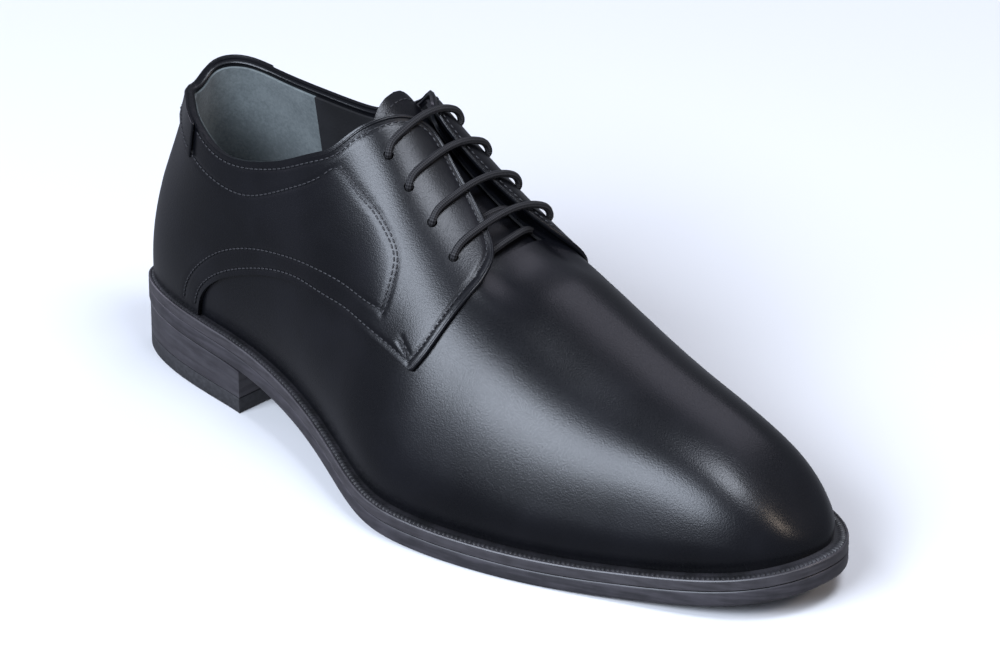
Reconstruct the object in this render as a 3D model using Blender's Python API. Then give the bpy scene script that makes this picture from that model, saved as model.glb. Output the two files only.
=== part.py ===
"""Derby shoe for the right foot, in the maker's pieces.

Frame: X from the heel's back towards the toe, Y to the wearer's left (the inner side of this
right shoe), Z up, the heel and the ball of the foot standing on Z = 0. The tables and the named
sizes are millimetres; SCALE turns them into metres as each mesh is written.
"""
import math

import bmesh
import bpy
import numpy as np

SCALE = 0.001
OBJECT = "derby_shoe"
CUTTERS = "cutters"

LENGTH = 303.0          # sole, heel back to toe tip
EDGE = 10.0             # outsole plus welt, seen as the sole's edge
OUTSOLE = 5.6           # outsole thickness
GAP = 0.3               # air between two pieces that meet
HEEL_BREAST = 66.0      # front of the heel, at the shoe's centre
HEEL_SLANT = 0.09       # how far the breast leans forward per millimetre towards the inner side
TOP_LIFT = 6.0          # bottom layer of the heel
HEEL_INSET = 0.5        # heel set in from the sole's edge
WELT_WIDTH = 12.0       # strip round the sole's edge; the outsole rises inside it
INSOLE = 3.0            # insole thickness
WALL = 2.2              # upper leather with its lining
OVERLAY = 1.4           # quarter leather laid over the vamp
TAB = 1.0               # heel tab leather
LACE_RADIUS = 1.25
HOLE_RADIUS = 2.1
TONGUE_DROP = 6.0       # tongue's outer face below the upper's outer face
TONGUE_THICK = 1.6
THROAT = 164.0          # where the vamp closes ahead of the lacing
HEEL_CENTRE = 33.0      # the ribs of the heel fan out about this station
FIRST, LAST = 3.8, LENGTH - 5.4     # stations of the upper's foot at the heel and the toe


class Spline:
    """Natural cubic curve through a short table."""

    def __init__(self, stations, values):
        self.x, self.y = np.asarray(stations, float), np.asarray(values, float)
        step = np.diff(self.x)
        size = len(self.x)
        matrix, right = np.eye(size), np.zeros(size)
        for i in range(1, size - 1):
            matrix[i, i - 1:i + 2] = step[i - 1], 2 * (step[i - 1] + step[i]), step[i]
            slopes = np.diff(self.y[i - 1:i + 2]) / step[i - 1:i + 1]
            right[i] = 6 * (slopes[1] - slopes[0])
        self.bend = np.linalg.solve(matrix, right)

    def __call__(self, at):
        at = np.asarray(at, float)
        i = np.clip(np.searchsorted(self.x, at) - 1, 0, len(self.x) - 2)
        h = self.x[i + 1] - self.x[i]
        a, b = (self.x[i + 1] - at) / h, (at - self.x[i]) / h
        curve = (a ** 3 - a) * self.bend[i] + (b ** 3 - b) * self.bend[i + 1]
        return a * self.y[i] + b * self.y[i + 1] + curve * h * h / 6


def columns(names, rows):
    """Named columns of a table, each a curve over the table's first column."""
    values = np.array(rows, float)
    return {name: Spline(values[:, 0], values[:, k + 1]) for k, name in enumerate(names.split())}


# Sole outline: half widths either side of a centre line, by station.
PLAN = columns("lateral medial centre", [
    (0, 18.5, 31.5, -1.0), (30, 21.2, 34.0, -1.3), (65, 25.3, 35.0, -2.2), (95, 33.2, 35.5, -2.5),
    (125, 46.3, 38.0, -2.8), (150, 57.0, 43.0, -2.6), (175, 58.4, 48.5, -2.6), (200, 55.8, 50.0, -1.9),
    (225, 50.6, 46.8, -0.6), (250, 43.6, 40.0, 1.0), (275, 37.2, 32.5, 2.3), (303, 31.7, 22.0, 2.9)])
# Height of the outsole's underside; it rests flat from 182 to 208.
UNDERSIDE = Spline([0, 30, 66, 90, 120, 145, 165, 182, 195, 208, 230, 260, 285, 303],
                   [18.2, 18.2, 16.6, 13.2, 7.6, 2.2, 0.5, 0, -0.1, 0, 0.5, 2.7, 6.2, 9.7])
# How far the upper's foot stands in from the sole's edge.
FEATHER = Spline([0, 60, 120, 200, 303], [3.8, 4.0, 4.6, 5.2, 5.4])
# Cross sections of the last: ridge (side offset, height), how far the wall bulges past its foot and
# stands at mid height on each side, the heights of those two, the shoulder and the flat of the crown.
BODY = columns("ridge top bulge_l bulge_m mid_l mid_m low high shoulder_l shoulder_m lift crown_l crown_m", [
    (3.8, 4.0, 152.0, 0.2, 0.2, -6.2, -6.2, 17.0, 44, 0.35, 0.35, 0.72, 0.45, 0.45),
    (14, 4.1, 152.0, 1.9, 3.1, -3.1, -0.9, 16.6, 43.3, 0.34, 0.62, 0.726, 0.40, 0.43),
    (40, 4.5, 152.0, 3.6, 3.6, 1.6, 1.0, 16.0, 42, 0.81, 0.66, 0.74, 0.48, 0.48),
    (80, 6.0, 149.0, 3.8, 4.6, 2.5, 2.5, 16.0, 40, 0.84, 0.72, 0.76, 0.44, 0.52),
    (105, 7.5, 137.0, 3.4, 5.0, 1.0, 3.4, 15.0, 36, 0.76, 0.82, 0.78, 0.36, 0.53),
    (122, 9.0, 122.5, 3.2, 5.0, -1.0, 3.9, 14.0, 33, 0.68, 0.88, 0.80, 0.32, 0.56),
    (134, 9.3, 111.5, 3.2, 5.0, -1.0, 4.2, 13.0, 30, 0.66, 0.92, 0.81, 0.31, 0.58),
    (146, 9.3, 101.5, 3.2, 4.8, -1.0, 4.0, 12.0, 27, 0.64, 0.92, 0.82, 0.30, 0.57),
    (158, 9.2, 93.0, 3.3, 4.6, -0.5, 3.6, 11.5, 25, 0.65, 0.90, 0.825, 0.30, 0.54),
    (170, 9.2, 86.0, 3.4, 4.4, 0.0, 2.8, 11.0, 23, 0.66, 0.85, 0.83, 0.31, 0.49),
    (185, 9.0, 80.0, 3.5, 4.3, 0.5, 1.8, 10.0, 21, 0.68, 0.76, 0.835, 0.32, 0.40),
    (200, 8.4, 74.0, 3.6, 4.1, 1.0, 0.9, 9.0, 18.5, 0.70, 0.70, 0.835, 0.33, 0.33),
    (230, 6.4, 62.6, 3.6, 3.7, 1.5, -0.6, 8.0, 15, 0.75, 0.63, 0.835, 0.36, 0.27),
    (248, 4.8, 57.0, 3.5, 3.5, 1.5, -1.0, 7.8, 14, 0.77, 0.62, 0.845, 0.38, 0.26),
    (266, 3.6, 50.5, 3.4, 3.3, 1.5, -0.8, 7.3, 13, 0.79, 0.64, 0.85, 0.40, 0.28),
    (285, 2.6, 41.0, 3.0, 3.0, 1.2, 0.2, 6.0, 11, 0.82, 0.74, 0.88, 0.43, 0.37),
    (303, 1.5, 29.5, 2.4, 2.4, 1.0, 1.0, 4.5, 9, 0.82, 0.80, 0.90, 0.44, 0.44)])
# Pattern lines as girth (0 at the foot, 1 on the ridge) by station: the topline running into the
# facing edge, for the outer (l) and the inner (m) side.
TOPLINE = {
    -1: ([3.8, 20, 39, 49, 59, 72, 85, 96, 104, 107, 111, 115, 119, 122, 126, 132, 140, 150, 159, 163, 165, 166.5],
         [.565, .560, .541, .522, .517, .541, .589, .649, .703, .739, .802, .868, .935, .968, .988, .988, .976,
          .960, .934, .912, .885, .825]),
    1: ([3.8, 9, 15, 25, 37, 48, 61, 76, 90, 103, 107, 111, 115, 119, 122, 128, 135, 142, 148, 154, 160, 166, 170, 172],
        [.565, .585, .600, .603, .591, .581, .577, .582, .615, .700, .740, .800, .865, .925, .954, .963, .960,
         .950, .938, .922, .902, .864, .812, .745])}
# The quarter's lower edge: up from the welt, along the arch, down to the front corner, then up its front.
QUARTER_LOW = {
    -1: ([40, 44, 50, 60, 75, 88, 101, 114, 126, 139, 149, 158, 161, 164, 165.7, 166.5],
         [0, .070, .128, .190, .261, .317, .361, .393, .432, .470, .490, .500, .560, .665, .755, .825]),
    1: ([40, 44, 50, 60, 75, 88, 101, 114, 126, 139, 150, 161, 165, 168.5, 171, 172],
        [0, .070, .128, .190, .255, .305, .345, .380, .415, .450, .472, .485, .545, .630, .690, .740])}
EYELETS = {-1: [(122, .828), (132, .828), (143.5, .824), (155, .812)],
           1: [(123.5, .832), (134, .822), (145.5, .805), (157.5, .785)]}
GIRTH_SHARES = (0, 0.12, 0.26, 0.40, 0.53, 0.65, 0.77, 0.89, 1.0)   # rows of the wall, foot to topline
TAB_END, TAB_LOW = 38.0, ([0, 12, 26, 38], [.495, .492, .475, .452])
TONGUE_SPAN = (110.0, 176.0)        # top of the tongue, and its root under the vamp


def underside(x):
    """Height of the outsole's lower face."""
    return np.maximum(UNDERSIDE(x), 0.0)


def heel_round(x):
    """Half width factor that closes the outline round the heel."""
    return (1 - np.clip((55 - x) / 55, 0, 1) ** 2.4) ** 0.5


def toe_round(x):
    """Half width factor that closes the outline round the toe."""
    return (1 - np.clip((x - 242) / (LENGTH - 242), 0, 1) ** 4.2) ** 0.5


def outline(side, x, inset=0.0):
    """Sideways place of the sole's edge, set in by inset; side -1 outer, 1 inner."""
    along = np.clip((x - inset) / (LENGTH - 2 * inset), 0, 1) * LENGTH
    half = PLAN["lateral" if side < 0 else "medial"](x) - inset
    return PLAN["centre"](x) + side * half * heel_round(along) * toe_round(along)


def blend(points, v):
    """Cubic curve with six control points, at v from 0 to 1."""
    knots = [0, 0, 0, 0, 1 / 3, 2 / 3, 1, 1, 1, 1]
    v = np.clip(v, 0, 1)
    basis = [((v >= knots[i]) & (v < knots[i + 1])).astype(float) for i in range(9)]
    basis[5] = np.where(v >= 1, 1.0, basis[5])
    for degree in (1, 2, 3):
        raised = []
        for i in range(9 - degree):
            rise, fall = knots[i + degree] - knots[i], knots[i + degree + 1] - knots[i + 1]
            up = (v - knots[i]) / rise if rise else 0 * v
            down = (knots[i + degree + 1] - v) / fall if fall else 0 * v
            raised.append(up * basis[i] + down * basis[i + 1])
        basis = raised
    return sum(weight[..., None] * point for weight, point in zip(basis, points))


def last_surface(side, x, v, out=0.0):
    """Point on the upper: side, station x, girth v, and out millimetres outside the leather's face."""
    x, v, out = np.broadcast_arrays(np.asarray(x, float), np.asarray(v, float), np.asarray(out, float))
    start, end = FIRST - out, LAST + out
    station = np.clip(x, FIRST, LAST)
    x = start + (station - FIRST) / (LAST - FIRST) * (end - start)
    along = np.clip((x - start) / (end - start), 0, 1) * LENGTH
    toe = toe_round(along)
    half = PLAN["lateral" if side < 0 else "medial"](x) - FEATHER(x) + out
    row = {name: curve(station) for name, curve in BODY.items()}
    middle = PLAN["centre"](x)
    foot_y = middle + side * half * heel_round(along) * toe
    foot_z = underside(x) + EDGE + GAP
    hub_x = x + (np.sqrt((x - HEEL_CENTRE) ** 2 + 14.0 ** 2) - (x - HEEL_CENTRE)) / 2 * toe
    hub_y = middle + row["ridge"] * toe
    dx, dy = x - hub_x, foot_y - hub_y
    reach = np.maximum(np.hypot(dx, dy), 1e-9)
    tag = "_l" if side < 0 else "_m"
    rise = (row["top"] - foot_z + out) * toe ** 0.85
    profile = [(reach, 0 * rise), (reach + row["bulge" + tag] * toe, row["low"] * toe ** 0.85),
               (reach + row["mid" + tag] * toe, row["high"] * toe ** 0.85),
               (reach * row["shoulder" + tag], rise * row["lift"]),
               (reach * row["crown" + tag], rise), (0 * reach, rise)]
    point = blend([np.stack(pair, -1) for pair in profile], v)
    return np.stack([hub_x + dx / reach * point[..., 0], hub_y + dy / reach * point[..., 0],
                     foot_z + point[..., 1]], -1)


def outward(side, x, v, out):
    """Unit normal of the surface at a spot, pointing out of the shoe."""
    v = min(v, 0.999)
    along = last_surface(side, x + 0.2, v, out) - last_surface(side, x - 0.2, v, out)
    up = last_surface(side, x, v + 0.001, out) - last_surface(side, x, v - 0.001, out)
    normal = np.cross(along, up)
    return -side * normal / np.linalg.norm(normal)


def girth_point(x, girth, out=0.0):
    """Point on the upper by signed girth: 0 on the ridge, negative outwards, positive inwards.

    Beyond the leather's two faces the point lies along the surface's own normal.
    """
    side = -1 if girth < 0 else 1
    face = min(max(out, -WALL), GAP + OVERLAY)
    spot = last_surface(side, x, 1 - abs(girth), face)
    return spot + (out - face) * outward(side, x, 1 - abs(girth), face)


def stations(count, low=0.0, high=1.0):
    """Stations that crowd towards both ends."""
    return low + (high - low) * (1 - np.cos(np.linspace(0, math.pi, count))) / 2


def collection(name):
    """Collection of the given name, linked to the scene."""
    made = bpy.data.collections.new(name)
    bpy.context.scene.collection.children.link(made)
    return made


def material(name, colour, roughness, coat=0.0):
    """Principled material of one maker's piece."""
    made = bpy.data.materials.new(name)
    made.use_nodes = True
    shader = made.node_tree.nodes["Principled BSDF"]
    shader.inputs["Base Color"].default_value = (*colour, 1)
    shader.inputs["Roughness"].default_value = roughness
    shader.inputs["Coat Weight"].default_value = coat
    return made


def mesh_object(name, points, faces, look, home, smooth=True):
    """Object from millimetre points and faces, with its normals turned outwards."""
    mesh = bpy.data.meshes.new(name)
    mesh.from_pydata([tuple(float(c) * SCALE for c in p) for p in points], [], faces)
    work = bmesh.new()
    work.from_mesh(mesh)
    bmesh.ops.recalc_face_normals(work, faces=work.faces)
    work.to_mesh(mesh)
    work.free()
    if smooth:
        mesh.shade_smooth()
        mesh.set_sharp_from_angle(angle=math.radians(38))
    made = bpy.data.objects.new(name, mesh)
    if look:
        mesh.materials.append(look)
    home.objects.link(made)
    return made


def grid_solid(name, grid, look, home):
    """Solid sheet: grid rows hold (outer point, inner point) or None where the sheet is open."""
    outer, inner, index, cells = [], [], {}, []
    numbers = []
    for row in grid:
        line = []
        for pair in row:
            if pair is None:
                line.append(None)
                continue
            key = tuple(np.round(pair[0] + 0.0037, 2))
            if key not in index:
                index[key] = len(outer)
                outer.append(pair[0])
                inner.append(pair[1])
            line.append(index[key])
        numbers.append(line)
    for first, second in zip(numbers, numbers[1:]):
        for k in range(len(first) - 1):
            corners = (first[k], first[k + 1], second[k + 1], second[k])
            if None in corners:
                continue
            a, b, c, d = corners
            short = np.linalg.norm(outer[a] - outer[c]) <= np.linalg.norm(outer[b] - outer[d])
            halves = ((a, b, c), (a, c, d)) if short else ((a, b, d), (b, c, d))
            cells += [half for half in halves if len(set(half)) == 3]
    shift = len(outer)
    edges = {(f[i - 1], f[i]) for f in cells for i in range(len(f))}
    faces = cells + [tuple(c + shift for c in reversed(f)) for f in cells]
    faces += [(b, a, a + shift, b + shift) for a, b in edges if (b, a) not in edges]
    return mesh_object(name, outer + inner, faces, look, home)


def upper_grid(rows, out, inside):
    """Grid of surface points from rows of (side, x, v), at two distances from the leather's face."""
    return [[None if spot is None else (last_surface(*spot, out), last_surface(*spot, inside))
             for spot in row] for row in rows]


def topline(side, x):
    """Girth of the topline and facing edge."""
    return float(np.interp(x, *TOPLINE[side]))


def quarter_low(side, x):
    """Girth of the quarter's lower and front edge."""
    return float(np.interp(x, *QUARTER_LOW[side], left=0.0))


def plate(name, inset, bottom, top, look, home, count=38, across=5, reach=LENGTH, slant=0.0):
    """Flat piece inside the sole's outline, cut off at reach, between two height functions."""
    ends = stations(count, inset, min(reach, LENGTH - inset) if reach == LENGTH else 2 * reach - inset)
    ends = [x for x in ends if x <= reach + 1e-6]
    grid = []
    for x in ends:
        low, high = float(outline(-1, np.float64(x), inset)), float(outline(1, np.float64(x), inset))
        lean = slant * max(0.0, (x - reach + 24) / 24)
        row = []
        for k in range(across + 1):
            y = low + (high - low) * k / across
            at = x + lean * y
            row.append((np.array((at, y, top(at))), np.array((at, y, bottom(at)))))
        grid.append(row)
    return grid_solid(name, grid, look, home)


def ring(name, wide, bottom, top, look, home, count=30):
    """Strip following the sole's edge, wide millimetres across."""
    share = stations(count)
    loop = [(-1, s) for s in share] + [(1, s) for s in share[-2:0:-1]]
    grid = []
    for side, s in loop + loop[:1]:
        spots = []
        for inset in (0.0, wide / 2, wide):
            x = inset + s * (LENGTH - 2 * inset)
            spots.append((x, float(outline(side, np.float64(x), inset))))
        grid.append([(np.array((x, y, top(x))), np.array((x, y, bottom(x)))) for x, y in spots])
    return grid_solid(name, grid, look, home)


def upper_stations():
    """Stations of the upper's ribs: crowded at heel and toe, and close under the lacing."""
    lacing = (105, 109, 112, 114.5, 117, 119.5, 122, 127, 132, 138, 144, 150, 155, 158, 161, THROAT, 165.5, 166.5, 169, 172)
    ends = [x for x in np.round(stations(39, FIRST, LAST), 3) if x < 101 or x > 176]
    return sorted([*ends, *lacing])


def wall_girths(side, x):
    """Rows of the upper's wall from its foot to the topline, or to where the vamp closes."""
    edge = topline(side, min(x, THROAT)) - 0.006
    if x >= THROAT:
        edge += (0.86 - edge) * min(1.0, (x - THROAT) / 60)
    return [edge * share for share in GIRTH_SHARES]


def build_upper(look, home):
    """The hollow upper: vamp, wings and quarter lining as one wall, open at the collar and below."""
    rows = []
    for x in upper_stations():
        sides = {}
        for side in (-1, 1):
            girths = wall_girths(side, x)
            closed = [(side, x, (1 + girths[-1]) / 2), (side, x, 1.0)] if x >= THROAT else [None, None]
            sides[side] = [(side, x, v) for v in girths] + closed
        rows.append(sides[-1] + sides[1][-2::-1])
    return grid_solid("upper", upper_grid(rows, 0.0, -WALL), look, home)


def build_quarter(side, name, look, home):
    """Quarter laid over the vamp, from the back seam to the facing."""
    nose = TOPLINE[side][0][-1]
    corner = QUARTER_LOW[side][0][-5]
    rows = []
    for x in sorted({*upper_stations(), FIRST + 0.004, 40.0, 42.0, 44.0, 47.0, corner, nose}):
        if not FIRST < x <= nose:
            continue
        low, high = quarter_low(side, x), topline(side, x)
        girths = [min(max(low, v), high) for v in wall_girths(side, x)]
        rows.append([(side, x, v) for v in girths[:-1] + [high]])
    return grid_solid(name, upper_grid(rows, GAP + OVERLAY, GAP), look, home)


def build_tab(look, home):
    """Heel tab round the back of the collar."""
    half = [TAB_END, 34, 29, 24, 19, 15, 11, 8, 6, 4.8, 4.1, FIRST]
    rows = []
    for side, x in [(-1, x) for x in half] + [(1, x) for x in half[-2::-1]]:
        low, high = float(np.interp(x, *TAB_LOW)), topline(side, x) + 0.004
        rows.append([(side, x, low + (high - low) * k / 3) for k in range(4)])
    start = GAP + OVERLAY + GAP
    return grid_solid("heel_tab", upper_grid(rows, start + TAB, start), look, home)


def tongue_out(x):
    """How far the tongue's outer face lies under the leather's face."""
    step = min(1.0, max(0.0, (x - 163.5) / 7.5))
    return -TONGUE_DROP + (TONGUE_DROP - WALL - 0.5) * step * step * (3 - 2 * step)


def build_tongue(look, home):
    """Tongue below the lacing, rooted under the vamp, its top rounded."""
    top, root = TONGUE_SPAN
    across = 12
    grid = []
    for share in [0.004, 0.02, 0.045, 0.08, 0.13, 0.2, 0.28, 0.36, 0.45, 0.54, 0.63, 0.72, 0.81, 0.86, 0.9, 0.95, 1.0]:
        x = top + (root - top) * share
        half = (0.285 - 0.08 * share) * math.sqrt(1 - (1 - min(1.0, share / 0.2)) ** 2.4)
        row = []
        for k in range(across + 1):
            girth = half * (2 * k / across - 1)
            face = tongue_out(x)
            row.append((girth_point(x, girth, face), girth_point(x, girth, face - TONGUE_THICK)))
        grid.append(row)
    return grid_solid("tongue", grid, look, home)


def eyelet(side, number):
    """Centre of an eyelet on the leather's face and the unit normal there."""
    x, v = EYELETS[side][number]
    return last_surface(side, x, v, 0.0), outward(side, x, v, 0.0)


def eyelet_cutter(side, number, home):
    """Round cutter through quarter and lining at one eyelet."""
    centre, axis = eyelet(side, number)
    first = np.cross(axis, (0.0, 1.0, 0.0))
    first /= np.linalg.norm(first)
    second = np.cross(axis, first)
    sides = 12
    points = [centre + axis * h + HOLE_RADIUS * (first * math.cos(a) + second * math.sin(a))
              for h in (-4.0, 3.6) for a in np.linspace(0, 2 * math.pi, sides, endpoint=False)]
    faces = [tuple(range(sides))[::-1], tuple(range(sides, 2 * sides))]
    faces += [(i, (i + 1) % sides, (i + 1) % sides + sides, i + sides) for i in range(sides)]
    return mesh_object(f"eyelet_cut_{'l' if side < 0 else 'm'}{number + 1}", points, faces, None, home, smooth=False)


def lace_path():
    """Centre line of the lace, from its hidden start to its hidden end."""
    over, under = GAP + OVERLAY + LACE_RADIUS + 0.6, -(WALL + LACE_RADIUS + 0.6)
    place = {side: [(x, side * (1 - v)) for x, v in EYELETS[side]] for side in (-1, 1)}

    def through(side, number, upwards):
        centre, axis = eyelet(side, number)
        levels = (under - 0.2, 0.0, over + 0.1)
        return [centre + axis * level for level in (levels if upwards else levels[::-1])]

    def bar(number, start):
        (x0, g0), (x1, g1) = place[start][number], place[-start][number]
        return [girth_point(x0 + (x1 - x0) * f, g0 + (g1 - g0) * f, over + lift)
                for f, lift in ((0.08, 0.5), (0.22, 0.3), (0.4, 0.1), (0.6, 0.1), (0.78, 0.3), (0.92, 0.5))]

    def hidden(side, number):
        (x0, g0), (x1, g1) = place[side][number], place[side][number + 1]
        return [girth_point(x0 + (x1 - x0) * f, g0 + (g1 - g0) * f, under - 0.2) for f in (0.25, 0.5, 0.75)]

    path = [girth_point(place[-1][0][0] - 3.5, place[-1][0][1] - 0.03, under - 0.2)]
    path += through(-1, 0, True) + bar(0, -1) + through(1, 0, False) + hidden(1, 0)
    path += through(1, 1, True) + bar(1, 1) + through(-1, 1, False) + hidden(-1, 1)
    path += through(-1, 2, True) + bar(2, -1) + through(1, 2, False) + hidden(1, 2)
    path += through(1, 3, True) + bar(3, 1) + through(-1, 3, False)
    crossing = [(157.5, -0.160, 0.2), (159.5, -0.125, 0.2), (160.3, -0.085, 0), (160.6, -0.04, -1.2), (160.5, 0.01, -1.6),
                (160.2, 0.05, -1.4), (159.8, 0.09, -0.3), (159.2, 0.124, 0.2), (157.0, 0.144, 0.2), (154.4, 0.135, 0.2),
                (152.6, 0.11, 0.2), (151.8, 0.07, -0.6), (151.5, 0.03, -1.2), (151.2, -0.01, -1.2), (150.6, -0.05, -0.2),
                (149.0, -0.09, 0.2), (145.5, -0.112, 0.2), (140, -0.115, 0.2), (133, -0.112, 0.2), (127, -0.110, 0.2)]
    return np.array(path + [girth_point(x, girth, under - drop) for x, girth, drop in crossing])


def build_lace(look, home):
    """One round lace through all eight eyelets: four bars and the runs that join them."""
    points = lace_path()
    sides = 6
    tangents = np.gradient(points, axis=0)
    tangents /= np.linalg.norm(tangents, axis=1)[:, None]
    normal = np.cross(tangents[0], (0.0, 1.0, 0.0))
    rings = []
    for point, tangent in zip(points, tangents):
        normal = normal - tangent * float(normal @ tangent)
        normal /= np.linalg.norm(normal)
        other = np.cross(tangent, normal)
        rings += [point + LACE_RADIUS * (normal * math.cos(a) + other * math.sin(a))
                  for a in np.linspace(0, 2 * math.pi, sides, endpoint=False)]
    count = len(points)
    faces = [tuple(range(sides))[::-1], tuple(range((count - 1) * sides, count * sides))]
    for j in range(count - 1):
        for i in range(sides):
            a, b = j * sides + i, j * sides + (i + 1) % sides
            faces.append((a, b, b + sides, a + sides))
    return mesh_object("lace", rings, faces, look, home)


def combine(target, tool, operation):
    """Exact Boolean of one piece with a tool that is itself not shown."""
    step = target.modifiers.new(tool.name, "BOOLEAN")
    step.operation = operation
    step.solver = "EXACT"
    step.object = tool
    tool.hide_render = True
    tool.display_type = "WIRE"


def main():
    """Build every piece and its cutters."""
    for existing in list(bpy.data.objects):
        bpy.data.objects.remove(existing, do_unlink=True)
    home, knives = collection(OBJECT), collection(CUTTERS)
    calf = material("black_calf", (0.012, 0.012, 0.015), 0.32, 0.3)
    overlay = material("black_calf_quarter", (0.013, 0.013, 0.016), 0.32, 0.3)
    tab = material("black_calf_tab", (0.012, 0.012, 0.015), 0.34, 0.3)
    tongue_look = material("black_calf_tongue", (0.013, 0.013, 0.016), 0.36, 0.2)
    edge = material("dark_sole_rubber", (0.040, 0.038, 0.044), 0.5)
    stack = material("heel_stack", (0.036, 0.035, 0.040), 0.5)
    lift_look = material("top_lift_rubber", (0.020, 0.020, 0.022), 0.7)
    welt_look = material("welt_leather", (0.016, 0.015, 0.018), 0.55)
    board = material("insole_board", (0.10, 0.085, 0.065), 0.8)
    cord = material("waxed_lace", (0.018, 0.016, 0.017), 0.6)

    under = lambda x: float(underside(x))
    outsole = plate("outsole", 0.0, under, lambda x: under(x) + OUTSOLE, edge, home)
    rise = plate("outsole_rise", WELT_WIDTH + GAP, lambda x: under(x) + OUTSOLE / 2, lambda x: under(x) + EDGE,
                 None, knives, count=30, across=2)
    combine(outsole, rise, "UNION")
    ring("welt", WELT_WIDTH, lambda x: under(x) + OUTSOLE + GAP, lambda x: under(x) + EDGE, welt_look, home)
    plate("insole", 5.6 + WALL + GAP, lambda x: under(x) + EDGE + GAP,
          lambda x: under(x) + EDGE + GAP + INSOLE, board, home, count=26, across=4)
    plate("heel_stack", HEEL_INSET, lambda x: TOP_LIFT + GAP, lambda x: under(x) - GAP, stack, home,
          count=23, across=4, reach=HEEL_BREAST, slant=HEEL_SLANT)
    plate("top_lift", HEEL_INSET, lambda x: 0.0, lambda x: TOP_LIFT, lift_look, home,
          count=23, across=4, reach=HEEL_BREAST, slant=HEEL_SLANT)

    upper = build_upper(calf, home)
    lateral = build_quarter(-1, "quarter_lateral", overlay, home)
    medial = build_quarter(1, "quarter_medial", overlay, home)
    build_tab(tab, home)
    build_tongue(tongue_look, home)
    build_lace(cord, home)
    for side, quarter in ((-1, lateral), (1, medial)):
        for number in range(4):
            knife = eyelet_cutter(side, number, knives)
            combine(upper, knife, "DIFFERENCE")
            combine(quarter, knife, "DIFFERENCE")


main()
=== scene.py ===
"""Looks of the derby shoe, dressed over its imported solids.

Frame: X from the heel's back to the toe, Y to the wearer's left (the inner side of this right
shoe), Z up. Tables and sizes are millimetres; every mesh is written in metres.
"""
from __future__ import annotations

import logging
import math
from collections.abc import Callable, Sequence
from dataclasses import dataclass, field
from enum import IntEnum

import bpy
import numpy as np
from mathutils import Matrix, Vector
from mathutils.kdtree import KDTree

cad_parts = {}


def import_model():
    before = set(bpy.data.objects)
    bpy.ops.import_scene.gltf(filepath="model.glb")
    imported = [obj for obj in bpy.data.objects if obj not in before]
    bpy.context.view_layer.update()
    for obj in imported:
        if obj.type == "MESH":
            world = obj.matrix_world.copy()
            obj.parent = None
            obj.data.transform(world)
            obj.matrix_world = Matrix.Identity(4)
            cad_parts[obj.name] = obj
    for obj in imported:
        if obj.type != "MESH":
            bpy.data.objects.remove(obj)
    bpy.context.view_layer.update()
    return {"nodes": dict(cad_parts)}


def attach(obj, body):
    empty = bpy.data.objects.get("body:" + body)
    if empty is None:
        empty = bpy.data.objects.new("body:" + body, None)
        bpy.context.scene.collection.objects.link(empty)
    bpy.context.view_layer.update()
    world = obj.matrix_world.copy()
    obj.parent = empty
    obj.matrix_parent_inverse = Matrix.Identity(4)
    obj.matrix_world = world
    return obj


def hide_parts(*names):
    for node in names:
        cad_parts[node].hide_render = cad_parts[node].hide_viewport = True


LOG = logging.getLogger("derby_shoe")
MM = 0.001

LENGTH = 303.0          # sole, heel back to toe tip
EDGE = 10.0             # outsole plus welt
OUTSOLE = 5.6
GAP = 0.3
HEEL_BREAST = 66.0
HEEL_SLANT = 0.09
TOP_LIFT = 6.0
WALL = 2.2              # upper leather with its lining
OVERLAY = 1.4           # quarter leather over the vamp
TAB = 1.0
QUARTER_FACE = GAP + OVERLAY
TAB_FACE = QUARTER_FACE + GAP + TAB
VAMP = 1.1              # vamp leather without its lining
TONGUE_DROP = 6.0
TONGUE_THICK = 1.6
THROAT = 164.0
THROAT_DIP = 3.2        # how far the vamp sinks there
HEEL_CENTRE = 33.0
HEEL_ROUND = 55.0       # where the heel's rounding ends
HUB_BEND = 14.0         # how softly the sections turn into rays round the heel
BACK_ROUND = 1.5        # how far the collar's back corner is rounded off
TOE_ROUND = 242.0       # where the toe's rounding starts
LACE_RADIUS = 1.3
HOLE_RADIUS = 1.75
FIRST, LAST = 3.8, LENGTH - 5.4

Array = np.ndarray
Place = Callable[[Array, Array], Array]


class Side(IntEnum):
    """The two sides of the shoe, with their sign along Y."""

    OUTER = -1
    INNER = 1


class Spline:
    """Natural cubic curve through a short table."""

    def __init__(self, stations: Sequence[float], values: Sequence[float]) -> None:
        """Solve the curve's bends.

        Args:
            stations: Where the values are given, rising.
            values: The value at each station.
        """
        self.x, self.y = np.asarray(stations, float), np.asarray(values, float)
        step = np.diff(self.x)
        size = len(self.x)
        matrix, right = np.eye(size), np.zeros(size)
        for i in range(1, size - 1):
            matrix[i, i - 1:i + 2] = step[i - 1], 2 * (step[i - 1] + step[i]), step[i]
            slopes = np.diff(self.y[i - 1:i + 2]) / step[i - 1:i + 1]
            right[i] = 6 * (slopes[1] - slopes[0])
        self.bend = np.linalg.solve(matrix, right)

    def __call__(self, at: Array) -> Array:
        """Value of the curve at one or more stations."""
        at = np.asarray(at, float)
        i = np.clip(np.searchsorted(self.x, at) - 1, 0, len(self.x) - 2)
        h = self.x[i + 1] - self.x[i]
        a, b = (self.x[i + 1] - at) / h, (at - self.x[i]) / h
        curve = (a ** 3 - a) * self.bend[i] + (b ** 3 - b) * self.bend[i + 1]
        return a * self.y[i] + b * self.y[i + 1] + curve * h * h / 6


def columns(names: str, rows: Sequence[Sequence[float]]) -> dict[str, Spline]:
    """Named columns of a table.

    Args:
        names: Column names, apart from the first column.
        rows: Table rows, station first.

    Returns:
        A curve over the station for each name.
    """
    values = np.array(rows, float)
    return {name: Spline(values[:, 0], values[:, k + 1]) for k, name in enumerate(names.split())}


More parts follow.
